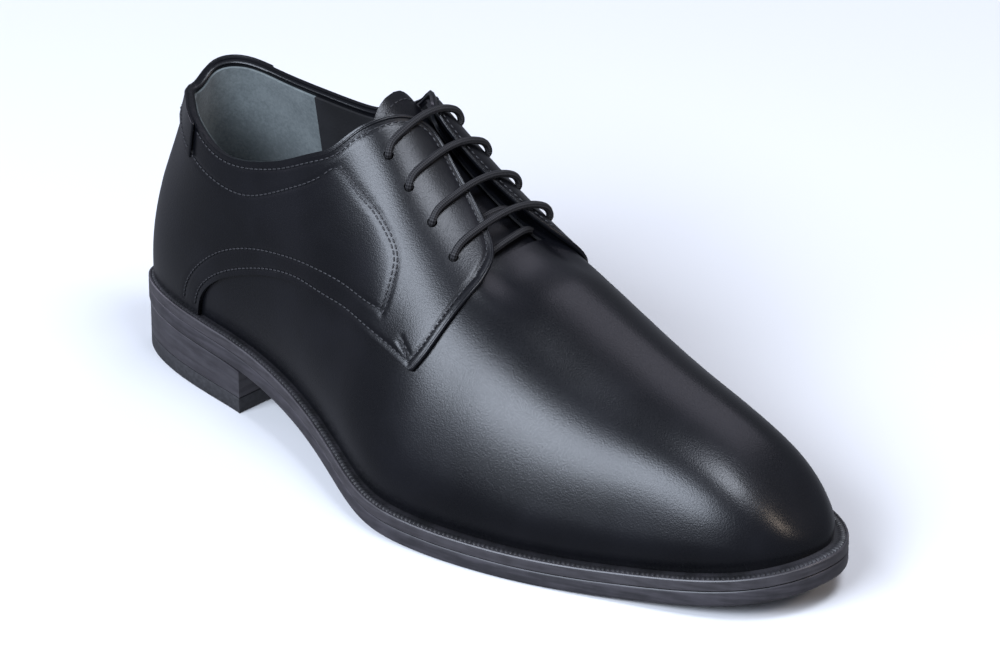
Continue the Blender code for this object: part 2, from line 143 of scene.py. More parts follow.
def lengths(path: Array) -> Array:
    """Length run along a path at each of its points."""
    return np.concatenate([[0], np.cumsum(np.linalg.norm(np.diff(path, axis=0), axis=1))])


def sample(at: Array, run: Array, table: Array) -> Array:
    """Rows of a table at lengths along a path whose own lengths are run."""
    return np.stack([np.interp(at, run, column) for column in table.T], -1)


def evenly(path: Array, pitch: float, table: Array | None = None) -> Array:
    """Samples a pitch apart along a path, of its own points or of a table with a row for each."""
    run = lengths(path)
    at = np.linspace(0, run[-1], max(3, int(run[-1] / pitch)))
    return sample(at, run, path if table is None else table)


def ease(share: Array) -> Array:
    """Smooth step of a share, 0 to 1."""
    share = np.clip(share, 0, 1)
    return share * share * (3 - 2 * share)


# Sole outline: half widths either side of a centre line, by station.
PLAN = columns("lateral medial centre", [
    (0, 18.5, 31.5, -1.0), (30, 21.2, 34.0, -1.3), (65, 25.3, 35.0, -2.2), (95, 33.2, 35.5, -2.5),
    (125, 46.3, 38.0, -2.8), (150, 57.0, 43.0, -2.6), (175, 58.4, 48.5, -2.6), (200, 55.8, 50.0, -1.9),
    (225, 50.6, 46.8, -0.6), (250, 43.6, 40.0, 1.0), (275, 37.2, 32.5, 2.3), (303, 31.7, 22.0, 2.9)])
# Height of the outsole's underside; it rests flat from 182 to 208.
UNDERSIDE = Spline([0, 30, 66, 90, 120, 145, 165, 182, 195, 208, 230, 260, 285, 303],
                   [18.2, 18.2, 16.6, 13.2, 7.6, 2.2, 0.5, 0, -0.1, 0, 0.5, 2.7, 6.2, 9.7])
# How far the upper's foot stands in from the sole's edge.
FEATHER = Spline([0, 60, 120, 200, 303], [3.8, 4.0, 4.6, 5.2, 5.4])
# Cross sections of the last: ridge (side offset, height), how far the wall bulges past its foot and
# stands at mid height on each side, the heights of those two, the shoulder and the flat of the crown.
BODY = columns("ridge top bulge_l bulge_m mid_l mid_m low high shoulder_l shoulder_m lift crown_l crown_m", [
    (3.8, 4.0, 152.0, 0.2, 0.2, -6.2, -6.2, 17.0, 44, 0.35, 0.35, 0.72, 0.45, 0.45),
    (14, 4.1, 152.0, 1.9, 3.1, -3.1, -0.9, 16.6, 43.3, 0.34, 0.62, 0.726, 0.40, 0.43),
    (40, 4.5, 152.0, 3.6, 3.6, 1.6, 1.0, 16.0, 42, 0.81, 0.66, 0.74, 0.48, 0.48),
    (80, 6.0, 149.0, 3.8, 4.6, 2.5, 2.5, 16.0, 40, 0.84, 0.72, 0.76, 0.44, 0.52),
    (105, 7.5, 137.0, 3.4, 5.0, 1.0, 3.4, 15.0, 36, 0.76, 0.82, 0.78, 0.36, 0.53),
    (122, 9.0, 122.5, 3.2, 5.0, -1.0, 3.9, 14.0, 33, 0.68, 0.88, 0.80, 0.32, 0.56),
    (134, 9.3, 111.5, 3.2, 5.0, -1.0, 4.2, 13.0, 30, 0.66, 0.92, 0.81, 0.31, 0.58),
    (146, 9.3, 101.5, 3.2, 4.8, -1.0, 4.0, 12.0, 27, 0.64, 0.92, 0.82, 0.30, 0.57),
    (158, 9.2, 93.0, 3.3, 4.6, -0.5, 3.6, 11.5, 25, 0.65, 0.90, 0.825, 0.30, 0.54),
    (170, 9.2, 86.0, 3.4, 4.4, 0.0, 2.8, 11.0, 23, 0.66, 0.85, 0.83, 0.31, 0.49),
    (185, 9.0, 80.0, 3.5, 4.3, 0.5, 1.8, 10.0, 21, 0.68, 0.76, 0.835, 0.32, 0.40),
    (200, 8.4, 74.0, 3.6, 4.1, 1.0, 0.9, 9.0, 18.5, 0.70, 0.70, 0.835, 0.33, 0.33),
    (230, 6.4, 62.6, 3.6, 3.7, 1.5, -0.6, 8.0, 15, 0.75, 0.63, 0.835, 0.36, 0.27),
    (248, 4.8, 57.0, 3.5, 3.5, 1.5, -1.0, 7.8, 14, 0.77, 0.62, 0.845, 0.38, 0.26),
    (266, 3.6, 50.5, 3.4, 3.3, 1.5, -0.8, 7.3, 13, 0.79, 0.64, 0.85, 0.40, 0.28),
    (285, 2.6, 41.0, 3.0, 3.0, 1.2, 0.2, 6.0, 11, 0.82, 0.74, 0.88, 0.43, 0.37),
    (303, 1.5, 29.5, 2.4, 2.4, 1.0, 1.0, 4.5, 9, 0.82, 0.80, 0.90, 0.44, 0.44)])
# Pattern lines as girth (0 at the foot, 1 on the ridge) by station: the topline running into the
# facing edge, for the outer (l) and the inner (m) side.
TOPLINE = {
    Side.OUTER: (
        [3.8, 20, 39, 49, 59, 72, 85, 96, 104, 107, 111, 115, 119, 122, 126, 132, 140, 150, 159, 163, 165,
         166.5],
        [.565, .560, .541, .522, .517, .541, .589, .649, .703, .739, .802, .868, .935, .968, .988, .988, .976,
         .960, .934, .912, .885, .825]),
    Side.INNER: (
        [3.8, 9, 15, 25, 37, 48, 61, 76, 90, 103, 107, 111, 115, 119, 122, 128, 135, 142, 148, 154, 160, 166,
         170, 172],
        [.565, .585, .600, .603, .591, .581, .577, .582, .615, .700, .740, .800, .865, .925, .954, .963, .960,
         .950, .938, .922, .902, .864, .812, .745])}
# The quarter's lower edge: up from the welt, along the arch, down to the front corner, then up its front.
QUARTER_LOW = {
    Side.OUTER: (
        [40, 44, 50, 60, 75, 88, 101, 114, 126, 139, 149, 158, 161, 164, 165.7, 166.5],
        [0, .070, .128, .190, .261, .317, .361, .393, .432, .470, .490, .500, .560, .665, .755, .825]),
    Side.INNER: (
        [40, 44, 50, 60, 75, 88, 101, 114, 126, 139, 150, 161, 165, 168.5, 171, 172],
        [0, .070, .128, .190, .255, .305, .345, .380, .415, .450, .472, .485, .545, .630, .690, .740])}
QUARTER_CORNER = -5                 # the front corner's place in both tables
EYELETS = {Side.OUTER: [(122, .828), (132, .828), (143.5, .824), (155, .812)],
           Side.INNER: [(123.5, .832), (134, .822), (145.5, .805), (157.5, .785)]}
TAB_END, TAB_LOW = 38.0, ([0, 12, 26, 38], [.495, .492, .475, .452])
TONGUE_SPAN = (110.0, 176.0)        # top of the tongue, and its root under the vamp
FACING_START = 104.0                # where the collar turns up into the facing's edge
LINING_SEAM = 59.0                  # napped behind it, smooth ahead
# Stitch rows over both quarters, as stations and girths; the last three are the bar tack.
STITCH_ROWS = [
    ([36, 46, 57.4, 67.2, 76.3, 86.6, 97.9, 104], [.461, .445, .437, .447, .477, .527, .593, .640]),
    ([33, 35.4, 40.8, 47.9, 57.2, 71.4, 84, 99.6, 111.6, 123.3, 134, 140],
     [.032, .076, .14, .20, .259, .321, .365, .417, .453, .489, .525, .549]),
    ([104, 109, 118, 125, 133, 138, 139.5, 140, 139.5],
     [.640, .681, .681, .689, .689, .673, .639, .583, .543]),
    ([150.5, 155.7], [.534, .520]), ([151.3, 156.5], [.546, .532]), ([151.0, 156.2], [.548, .518])]
FACING_ARC = ([109, 118, 125, 133, 138, 139.5, 140, 139.5], [.681, .681, .689, .689, .673, .639, .583, .543])
# The lace's hidden end under the top pair: station, signed girth and extra depth.
CROSSING = [
    (157.5, -0.160, 0.2), (159.5, -0.125, 0.2), (160.3, -0.085, 0), (160.6, -0.04, -1.2), (160.5, 0.01, -1.6),
    (160.2, 0.05, -1.4), (159.8, 0.09, -0.3), (159.2, 0.124, 0.2), (157.0, 0.144, 0.2), (154.4, 0.135, 0.2),
    (152.6, 0.11, 0.2), (151.8, 0.07, -0.6), (151.5, 0.03, -1.2), (151.2, -0.01, -1.2), (150.6, -0.05, -0.2),
    (149.0, -0.09, 0.2), (145.5, -0.112, 0.2), (140, -0.115, 0.2), (133, -0.112, 0.2), (127, -0.110, 0.2)]


class Last:
    """The shoe's own surface, by side, station x, girth v (0 foot, 1 ridge) and distance outwards."""

    @staticmethod
    def underside(x: Array) -> Array:
        """Height of the outsole's lower face."""
        return np.maximum(UNDERSIDE(x), 0.0)

    @staticmethod
    def heel_round(x: Array) -> Array:
        """Half width factor round the heel."""
        return (1 - np.clip((HEEL_ROUND - x) / HEEL_ROUND, 0, 1) ** 2.4) ** 0.5

    @staticmethod
    def toe_round(x: Array) -> Array:
        """Half width factor round the toe."""
        return (1 - np.clip((x - TOE_ROUND) / (LENGTH - TOE_ROUND), 0, 1) ** 4.2) ** 0.5

    @classmethod
    def outline(cls, side: int, x: Array, inset: float = 0.0) -> Array:
        """Sideways place of the sole's edge, set in by inset."""
        along = np.clip((x - inset) / (LENGTH - 2 * inset), 0, 1) * LENGTH
        half = PLAN["lateral" if side < 0 else "medial"](x) - inset
        return PLAN["centre"](x) + side * half * cls.heel_round(along) * cls.toe_round(along)

    @staticmethod
    def blend(points: Sequence[Array], v: Array) -> Array:
        """Cubic curve with six control points.

        Args:
            points: The six control points, each an array of positions.
            v: Share along the curve, 0 to 1.

        Returns:
            Positions on the curve.
        """
        knots = [0, 0, 0, 0, 1 / 3, 2 / 3, 1, 1, 1, 1]
        v = np.clip(v, 0, 1)
        basis = [((v >= knots[i]) & (v < knots[i + 1])).astype(float) for i in range(9)]
        basis[5] = np.where(v >= 1, 1.0, basis[5])
        for degree in (1, 2, 3):
            raised = []
            for i in range(9 - degree):
                rise, fall = knots[i + degree] - knots[i], knots[i + degree + 1] - knots[i + 1]
                up = (v - knots[i]) / rise if rise else 0 * v
                down = (knots[i + degree + 1] - v) / fall if fall else 0 * v
                raised.append(up * basis[i] + down * basis[i + 1])
            basis = raised
        return sum(weight[..., None] * point for weight, point in zip(basis, points))

    @classmethod
    def point(cls, side: int, x: Array, v: Array, out: Array = 0.0) -> Array:
        """Points on the upper.

        Args:
            side: -1 outer, 1 inner.
            x: Stations.
            v: Girths, 0 at the foot and 1 on the ridge.
            out: Millimetres outside the leather's face.

        Returns:
            Positions in millimetres, one row each.
        """
        x, v, out = np.broadcast_arrays(*(np.asarray(value, float) for value in (x, v, out)))
        start, end = FIRST - out, LAST + out
        station = np.clip(x, FIRST, LAST)
        x = start + (station - FIRST) / (LAST - FIRST) * (end - start)
        along = np.clip((x - start) / (end - start), 0, 1) * LENGTH
        toe = cls.toe_round(along)
        half = PLAN["lateral" if side < 0 else "medial"](x) - FEATHER(x) + out
        row = {name: curve(station) for name, curve in BODY.items()}
        middle = PLAN["centre"](x)
        foot_y = middle + side * half * cls.heel_round(along) * toe
        foot_z = cls.underside(x) + EDGE + GAP
        # A section's hub lies on the ridge, and near the heel's centre for every station behind it.
        hub_x = x + (np.sqrt((x - HEEL_CENTRE) ** 2 + HUB_BEND ** 2) - (x - HEEL_CENTRE)) / 2 * toe
        hub_y = middle + row["ridge"] * toe
        dx, dy = x - hub_x, foot_y - hub_y
        reach = np.maximum(np.hypot(dx, dy), 1e-9)
        tag = "_l" if side < 0 else "_m"
        rise = (row["top"] - foot_z + out) * toe ** 0.85
        profile = [(reach, 0 * rise), (reach + row["bulge" + tag] * toe, row["low"] * toe ** 0.85),
                   (reach + row["mid" + tag] * toe, row["high"] * toe ** 0.85),
                   (reach * row["shoulder" + tag], rise * row["lift"]),
                   (reach * row["crown" + tag], rise), (0 * reach, rise)]
        spot = cls.blend([np.stack(pair, -1) for pair in profile], v)
        # The collar's corner at the back seam is rounded off.
        hub_x = hub_x + BACK_ROUND * np.exp(-((station - FIRST) / 5.0) ** 2) * np.clip((v - 0.3) / 0.2, 0, 1)
        return np.stack([hub_x + dx / reach * spot[..., 0], hub_y + dy / reach * spot[..., 0],
                         foot_z + spot[..., 1]], -1)

    @classmethod
    def normal(cls, side: int, x: Array, v: Array, out: Array = 0.0) -> Array:
        """Unit normals of the surface, pointing out of the shoe."""
        x, v = np.asarray(x, float), np.minimum(v, 0.999)
        along = cls.point(side, x + 0.2, v, out) - cls.point(side, x - 0.2, v, out)
        up = cls.point(side, x, v + 0.001, out) - cls.point(side, x, v - 0.001, out)
        normal = -side * np.cross(along, up)
        return normal / np.maximum(np.linalg.norm(normal, axis=-1, keepdims=True), 1e-12)

    @staticmethod
    def pick(signed: Array, read: Callable[[int], Array]) -> Array:
        """The outer side's reading where a value is negative, and the inner side's elsewhere."""
        return np.where((signed < 0)[..., None], read(Side.OUTER), read(Side.INNER))

    @classmethod
    def spot(cls, x: Array, girth: Array, out: Array = 0.0) -> Array:
        """Points by signed girth: 0 on the ridge, negative outer, positive inner side.

        Beyond the leather's two faces a point lies along the surface's own normal.
        """
        x, girth, out = np.broadcast_arrays(*(np.asarray(value, float) for value in (x, girth, out)))
        face, v = np.clip(out, -WALL, QUARTER_FACE), 1 - np.abs(girth)
        return cls.pick(girth, lambda side: cls.point(side, x, v, face)
                        + (out - face)[..., None] * cls.normal(side, x, v, face))


def smooth_line(knots: Sequence[Sequence[float]], corner: int | None = None) -> tuple[Array, Array]:
    """Smooth pattern line through its table.

    Args:
        knots: Stations and girths.
        corner: Index of a sharp corner, if the line has one.

    Returns:
        Finely sampled stations and girths.
    """
    xs, vs = np.asarray(knots[0], float), np.asarray(knots[1], float)
    parts = [(0, len(xs))] if corner is None else [(0, corner + 1), (corner, len(xs))]
    made_x, made_v = [], []
    for low, high in parts:
        x, v = xs[low:high], vs[low:high]
        share = np.concatenate([[0], np.cumsum(np.hypot(np.diff(x), np.diff(v) * 90) ** 0.7)])
        fine = np.linspace(0, share[-1], 40 * (high - low))
        made_x.append(Spline(share, x)(fine))
        made_v.append(Spline(share, v)(fine))
    x = np.maximum.accumulate(np.concatenate(made_x))
    return x, np.concatenate(made_v)


EDGE_LINE = {side: smooth_line(TOPLINE[side]) for side in Side}
LOW_LINE = {side: smooth_line(QUARTER_LOW[side], len(QUARTER_LOW[side][0]) + QUARTER_CORNER) for side in Side}


class Wire:
    """A shader socket that takes part in arithmetic."""

    def __init__(self, board: "Board", socket: bpy.types.NodeSocket) -> None:
        """Keep the socket and the board it is on."""
        self.board, self.socket = board, socket

    def maths(self, operation: str, *values: "Wire | float") -> "Wire":
        """Math node of this wire and others.

        Args:
            operation: The node's operation.
            values: Every input, in order.

        Returns:
            The node's result.
        """
        return self.board.node("ShaderNodeMath", {"operation": operation}, dict(enumerate(values)))

    def __add__(self, other: "Wire | float") -> "Wire":
        """Sum."""
        return self.maths("ADD", self, other)

    def __sub__(self, other: "Wire | float") -> "Wire":
        """Difference."""
        return self.maths("SUBTRACT", self, other)

    def __rsub__(self, other: float) -> "Wire":
        """Difference from a number."""
        return self.maths("SUBTRACT", other, self)

    def __mul__(self, other: "Wire | float") -> "Wire":
        """Product."""
        return self.maths("MULTIPLY", self, other)

    __radd__, __rmul__ = __add__, __mul__

    def sine(self) -> "Wire":
        """Sine."""
        return self.maths("SINE", self)

    def step(self, low: float, high: float) -> "Wire":
        """Smooth step from 0 at low to 1 at high."""
        return self.board.node("ShaderNodeMapRange", {"interpolation_type": "SMOOTHSTEP"},
                               {"Value": self, "From Min": low, "From Max": high})


class Board:
    """Node tree of one material."""

    def __init__(self, name: str) -> None:
        """Start a material with its Principled shader."""
        self.material = bpy.data.materials.new(name)
        self.material.use_nodes = True
        self.tree = self.material.node_tree
        self.shader = self.tree.nodes["Principled BSDF"]

    def node(self, kind: str, settings: dict, inputs: dict, output: int | str = 0) -> Wire:
        """One node.

        Args:
            kind: Node type.
            settings: Attributes, set first.
            inputs: Values or wires by socket name or number.
            output: Which output to return.

        Returns:
            The wire of that output.
        """
        made = self.tree.nodes.new(kind)
        for key, value in settings.items():
            setattr(made, key, value)
        for key, value in inputs.items():
            self.put(made.inputs[key], value)
        return Wire(self, made.outputs[output])

    def put(self, socket: bpy.types.NodeSocket, value: object) -> None:
        """Link a wire to a socket, or set its value."""
        if isinstance(value, Wire):
            self.tree.links.new(value.socket, socket)
        else:
            socket.default_value = value

    def place(self) -> Wire:
        """Object coordinates, in metres."""
        return self.node("ShaderNodeTexCoord", {}, {}, "Object")

    def along(self) -> tuple[Wire, Wire]:
        """The piece's own map: millimetres along and across."""
        split = self.tree.nodes.new("ShaderNodeSeparateXYZ")
        self.tree.links.new(self.node("ShaderNodeUVMap", {"uv_map": "UVMap"}, {}).socket, split.inputs[0])
        return Wire(self, split.outputs[0]), Wire(self, split.outputs[1])

    def noise(self, scale: float, detail: float = 3.0, rough: float = 0.55) -> Wire:
        """Noise on object coordinates; scale in cells a metre."""
        return self.node("ShaderNodeTexNoise", {}, {"Vector": self.place(), "Scale": scale,
                                                    "Detail": detail, "Roughness": rough})

    def cells(self, scale: float) -> Wire:
        """Rounded cells on object coordinates, as in leather grain."""
        return self.node("ShaderNodeTexVoronoi", {"feature": "SMOOTH_F1"},
                         {"Vector": self.place(), "Scale": scale, "Smoothness": 0.5}, "Distance")

    def mix(self, share: Wire | float, first: Sequence[float], second: Sequence[float]) -> Wire:
        """Colour between two colours."""
        return self.node("ShaderNodeMix", {"data_type": "RGBA"},
                         {0: share, 6: (*first, 1), 7: (*second, 1)}, 2)

    def bump(self, height: Wire, depth: float, strength: float = 1.0) -> None:
        """Bump of the given depth in millimetres on the shader."""
        made = self.node("ShaderNodeBump", {}, {"Strength": strength, "Distance": depth * MM,
                                                "Height": height})
        self.put(self.shader.inputs["Normal"], made)

    def set(self, **values: object) -> None:
        """Set shader sockets; underscores stand for spaces."""
        for key, value in values.items():
            self.put(self.shader.inputs[key.replace("_", " ")], value)


@dataclass(frozen=True)
class Calf:
    """Smooth waxed calf."""

    name: str
    colour: tuple[float, float, float] = (0.0018, 0.0020, 0.0030)
    lift: tuple[float, float, float] = (0.0034, 0.0036, 0.0052)
    roughness: float = 0.255
    grain: float = 1900.0
    depth: float = 0.06
    coat: float = 0.06
    shine: float = 0.27

    def make(self) -> bpy.types.Material:
        """Material with fine grain, faint cloudiness and a wax coat."""
        board = Board(self.name)
        cloud = board.noise(38.0, 2.0)
        fine = board.cells(self.grain)
        wide = board.noise(1100.0, 3.0, 0.6)
        board.set(Base_Color=board.mix(cloud.step(0.35, 0.75), self.colour, self.lift),
                  Roughness=(cloud - 0.5) * 0.10 + fine * 0.10 + self.roughness,
                  Specular_IOR_Level=self.shine, Coat_Weight=self.coat, Coat_Roughness=0.2)
        board.bump(fine * 0.7 + wide * 0.6, self.depth, 0.7)
        return board.material


@dataclass(frozen=True)
class Suede:
    """Napped lining leather."""

    name: str
    colour: tuple[float, float, float] = (0.060, 0.074, 0.077)
    worn: tuple[float, float, float] = (0.115, 0.134, 0.136)

    def make(self) -> bpy.types.Material:
        """Material with a short uneven nap."""
        board = Board(self.name)
        nap = board.noise(900.0, 4.0, 0.7)
        patch = board.noise(60.0, 3.0, 0.6)
        board.set(Base_Color=board.mix((nap * 0.5 + patch * 0.5).step(0.35, 0.68), self.colour, self.worn),
                  Roughness=0.92, Sheen_Weight=0.25, Sheen_Roughness=0.5)
        board.bump(nap, 0.25, 0.7)
        return board.material


@dataclass(frozen=True)
class EdgeDressing:
    """Inked and burnished edge of sole, welt and heel, with fine lines along it."""

    name: str
    colour: tuple[float, float, float] = (0.016, 0.015, 0.018)
    pale: tuple[float, float, float] = (0.034, 0.031, 0.037)
    roughness: float = 0.42
    lines: float = 900.0

    def make(self) -> bpy.types.Material:
        """Material with fibre lines that run round the edge."""
        board = Board(self.name)
        scale = (60.0, 60.0, self.lines)
        flat = board.node("ShaderNodeMapping", {}, {"Vector": board.place(), "Scale": scale})
        fibre = board.node("ShaderNodeTexNoise", {}, {"Vector": flat, "Scale": 1.0, "Detail": 3.0})
        patch = board.noise(160.0, 3.0)
        board.set(Base_Color=board.mix((fibre * 0.6 + patch * 0.4).step(0.36, 0.66), self.colour, self.pale),
                  Roughness=fibre * 0.18 + self.roughness, Coat_Weight=0.15, Coat_Roughness=0.3)
        board.bump(fibre, 0.12, 0.5)
        return board.material


@dataclass(frozen=True)
class Plain:
    """Thread, rubber and board: one colour with fine mottling."""

    name: str
    colour: tuple[float, float, float]
    roughness: float
    scale: float = 700.0
    depth: float = 0.06

    def make(self) -> bpy.types.Material:
        """Material with fine mottling."""
        board = Board(self.name)
        grain = board.noise(self.scale, 3.0, 0.6)
        pale = tuple(min(1.0, c * 1.6 + 0.004) for c in self.colour)
        board.set(Base_Color=board.mix(grain.step(0.35, 0.7), self.colour, pale),
                  Roughness=grain * 0.12 + (self.roughness - 0.06))
        board.bump(grain, self.depth, 0.6)
        return board.material


@dataclass(frozen=True)
class Braid:
    """Round waxed braid: strands cross over one another along the cord."""

    name: str
    colour: tuple[float, float, float] = (0.004, 0.004, 0.005)
    pale: tuple[float, float, float] = (0.026, 0.025, 0.027)
    strands: int = 8
    pitch: float = 1.5

    def make(self) -> bpy.types.Material:
        """Material with two crossing sets of strands read from the cord's own map."""
        board = Board(self.name)
        along, around = board.along()
        turn = around * (math.tau * self.strands / 2)
        run = along * (math.tau / self.pitch)
        weave = (run + turn).sine() * (run - turn).sine()
        fine = board.noise(2600.0, 2.0)
        board.set(Base_Color=board.mix((weave * 0.35 + fine * 0.5).step(0.02, 0.55), self.colour, self.pale),
                  Roughness=0.6, Specular_IOR_Level=0.3)
        board.bump(weave + fine * 0.4, 0.16, 0.8)
        return board.material


def outwards(spots: Array) -> Array:
    """Rough outward direction at points of the upper, in metres."""
    x = np.clip(spots[:, 0] / MM, HEEL_CENTRE + 5, 260.0)
    return spots - np.stack([x, PLAN["centre"](x) + 4.0, np.full_like(x, 30.0)], 1) * MM


class Sheets:
    """Ways to make meshes from a plain grid that is bent into place."""

    @staticmethod
    def only(made: bpy.types.Object) -> None:
        """Select one object alone and make it active."""
        bpy.ops.object.select_all(action="DESELECT")
        made.select_set(True)
        bpy.context.view_layer.objects.active = made

    @classmethod
    def edit(cls, made: bpy.types.Object, step: Callable[..., object], **settings: object) -> None:
        """Run one operator on the whole of a mesh in edit mode."""
        cls.only(made)
        bpy.ops.object.mode_set(mode="EDIT")
        bpy.ops.mesh.select_all(action="SELECT")
        step(**settings)
        bpy.ops.object.mode_set(mode="OBJECT")

    @staticmethod
    def read(items: bpy.types.bpy_prop_collection, name: str, width: int = 3) -> Array:
        """One property of every item, a row for each."""
        flat = np.zeros(len(items) * width)
        items.foreach_get(name, flat)
        return flat.reshape(-1, width)

    @classmethod
    def grid(cls, name: str, counts: tuple[int, int], place: Place,
             span: tuple[float, float] = (1.0, 1.0)) -> bpy.types.Object:
        """Grid bent onto a surface.

        Args:
            name: Piece name.
            counts: Cells along and across.
            place: Gives positions in millimetres for shares along and across.
            span: Size of the piece's map in millimetres along and across.

        Returns:
            The piece, with seams and poles closed.
        """
        bpy.ops.object.select_all(action="DESELECT")
        bpy.ops.mesh.primitive_grid_add(x_subdivisions=counts[0], y_subdivisions=counts[1], size=1.0)
        made = bpy.context.object
        made.name = made.data.name = name
        flat = cls.read(made.data.vertices, "co")
        spots = place(flat[:, 0] + 0.5, flat[:, 1] + 0.5) * MM
        made.data.vertices.foreach_set("co", spots.astype(np.float32).ravel())
        layer = made.data.uv_layers.active
        layer.name = "UVMap"
        uv = cls.read(layer.data, "uv", 2) * np.array(span)
        layer.data.foreach_set("uv", uv.astype(np.float32).ravel())
        cls.edit(made, bpy.ops.mesh.remove_doubles, threshold=2e-6)
        return made

    @classmethod
    def face_map(cls, made: bpy.types.Object) -> Array:
        """Middle of every face on the piece's own map."""
        uv = cls.read(made.data.uv_layers["UVMap"].data, "uv", 2)
        starts = [face.loop_start for face in made.data.polygons]
        totals = np.array([face.loop_total for face in made.data.polygons])
        return np.add.reduceat(uv, starts, axis=0) / totals[:, None]

    @classmethod
    def drop_faces(cls, made: bpy.types.Object, doomed: Array) -> None:
        """Delete the marked faces."""
        cls.only(made)
        bpy.ops.object.mode_set(mode="EDIT")
        bpy.ops.mesh.select_all(action="DESELECT")
        bpy.ops.mesh.select_mode(type="FACE")
        bpy.ops.object.mode_set(mode="OBJECT")
        made.data.polygons.foreach_set("select", doomed)
        bpy.ops.object.mode_set(mode="EDIT")
        bpy.ops.mesh.delete(type="FACE")
        bpy.ops.mesh.select_mode(type="VERT")
        bpy.ops.object.mode_set(mode="OBJECT")

    @classmethod
    def modify(cls, made: bpy.types.Object, kind: str, **settings: object) -> None:
        """Add one modifier and apply it."""
        cls.only(made)
        step = made.modifiers.new(kind.lower(), kind)
        for key, value in settings.items():
            setattr(step, key, value)
        bpy.ops.object.modifier_apply(modifier=step.name)

    @classmethod
    def wall(cls, made: bpy.types.Object, thickness: float, rim: int = 0,
             bevel: float = 0.0) -> bpy.types.Object:
        """Turn an open sheet's faces outwards and give it its thickness inwards.

        Args:
            made: The sheet.
            thickness: Millimetres.
            rim: Material slots to step on for the cut edge.
            bevel: Rounding of the edges in millimetres, or 0.

        Returns:
            The same object, now a closed wall.
        """
        centres, normals = (cls.read(made.data.polygons, name) for name in ("center", "normal"))
        if float((outwards(centres) * normals).sum()) < 0:
            cls.edit(made, bpy.ops.mesh.flip_normals)
        cls.modify(made, "SOLIDIFY", thickness=thickness * MM, offset=-1.0, material_offset_rim=rim)
        if bevel:
            cls.modify(made, "BEVEL", width=bevel * MM, segments=3, limit_method="ANGLE",
                       angle_limit=math.radians(55))
        return made

    @classmethod
    def smooth(cls, made: bpy.types.Object, angle: float) -> None:
        """Smooth shading below an angle in degrees."""
        cls.only(made)
        bpy.ops.object.shade_smooth_by_angle(angle=math.radians(angle))

    @classmethod
    def closed(cls, made: bpy.types.Object, angle: float) -> bpy.types.Object:
        """Point a closed shell's faces outwards and smooth it below an angle in degrees."""
        cls.edit(made, bpy.ops.mesh.normals_make_consistent, inside=False)
        cls.smooth(made, angle)
        return made

    @classmethod
    def tube(cls, name: str, path: Array, radius: float, sides: int, flat: Array | float = 1.0,
             up: Array | None = None) -> bpy.types.Object:
        """Tube along a path, its ends closed to points.

        Args:
            name: Piece name.
            path: Points in millimetres, finely spaced.
            radius: Millimetres.
            sides: Cells round it.
            flat: Height off the surface as a share of its width, one value or one for each point.
            up: Unit directions across which it is flattened, one for each point.

        Returns:
            The closed tube.
        """
        run = lengths(path)
        tangent = np.gradient(path, run, axis=0)
        tangent /= np.linalg.norm(tangent, axis=1)[:, None]
        normal = np.zeros_like(path)
        level = np.cross(tangent[0], (0.0, 1.0, 0.1)) if up is None else None
        for k, forward in enumerate(tangent):
            level = up[k] if up is not None else level
            level = level - forward * float(level @ forward)
            level = level / np.linalg.norm(level)
            normal[k] = level
        across = np.cross(tangent, normal)
        tall = np.broadcast_to(flat, len(path))
        width = radius * np.minimum(1.0, np.sqrt(np.clip(np.minimum(run, run[-1] - run) / 0.8, 0, 1)) + 1e-4)

        def place(u: Array, v: Array) -> Array:
            k = np.rint(u * (len(path) - 1)).astype(int)
            turn = v * math.tau
            spread = across[k] * np.cos(turn)[:, None] + normal[k] * (np.sin(turn) * tall[k])[:, None]
            return path[k] + width[k][:, None] * spread

        return cls.closed(cls.grid(name, (len(path) - 1, sides), place, (float(run[-1]), 1.0)), 60)

    @staticmethod
    def resample(points: Array, pitch: float) -> Array:
        """Smooth path through points, with samples a pitch apart in millimetres."""
        share = np.concatenate([[0], np.cumsum(np.linalg.norm(np.diff(points, axis=0), axis=1) ** 0.5)])
        fine = np.linspace(0, share[-1], 60 * len(points))
        return evenly(np.stack([Spline(share, column)(fine) for column in points.T], 1), pitch)


class SoleOutline:
    """The sole's outline as one closed line, measured along its length."""

    def __init__(self) -> None:
        """Sample the outline finely from the heel's back round the outer side."""
        x = (1 - np.cos(np.linspace(0, math.pi, 900))) / 2 * LENGTH
        outer, inner = (np.stack([x, Last.outline(side, x)], 1) for side in Side)
        self.line = np.concatenate([outer, inner[::-1][1:-1], outer[:1]])
        self.run = lengths(self.line)
        self.total = float(self.run[-1])

    def at(self, share: Array) -> tuple[Array, Array]:
        """Points and inward normals at shares of the outline's length.

        Args:
            share: 0 to 1 round the sole.

        Returns:
            Plan points and unit normals pointing to the inside.
        """
        place = share % 1.0 * self.total
        ahead, behind = (sample((place + step) % self.total, self.run, self.line) for step in (1.2, -1.2))
        tangent = ahead - behind
        tangent /= np.linalg.norm(tangent, axis=-1, keepdims=True)
        return sample(place, self.run, self.line), np.stack([-tangent[..., 1], tangent[..., 0]], -1)


@dataclass
class Piece:
    """A finished mesh with what it stands for."""

    made: bpy.types.Object
    slot: str
    nodes: tuple[str, ...] = ()

    def settle(self, *finishes: bpy.types.Material) -> bpy.types.Object:
        """Dress the piece, let it ride and report it.

        Args:
            finishes: Its materials in slot order.

        Returns:
            The piece's object.
        """
        self.made.data.materials.clear()
        for finish in finishes:
            self.made.data.materials.append(finish)
        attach(self.made, "root")
        if self.nodes:
            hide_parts(*self.nodes)
        LOG.info("%s: %d faces", self.made.name, len(self.made.data.polygons))
        return self.made


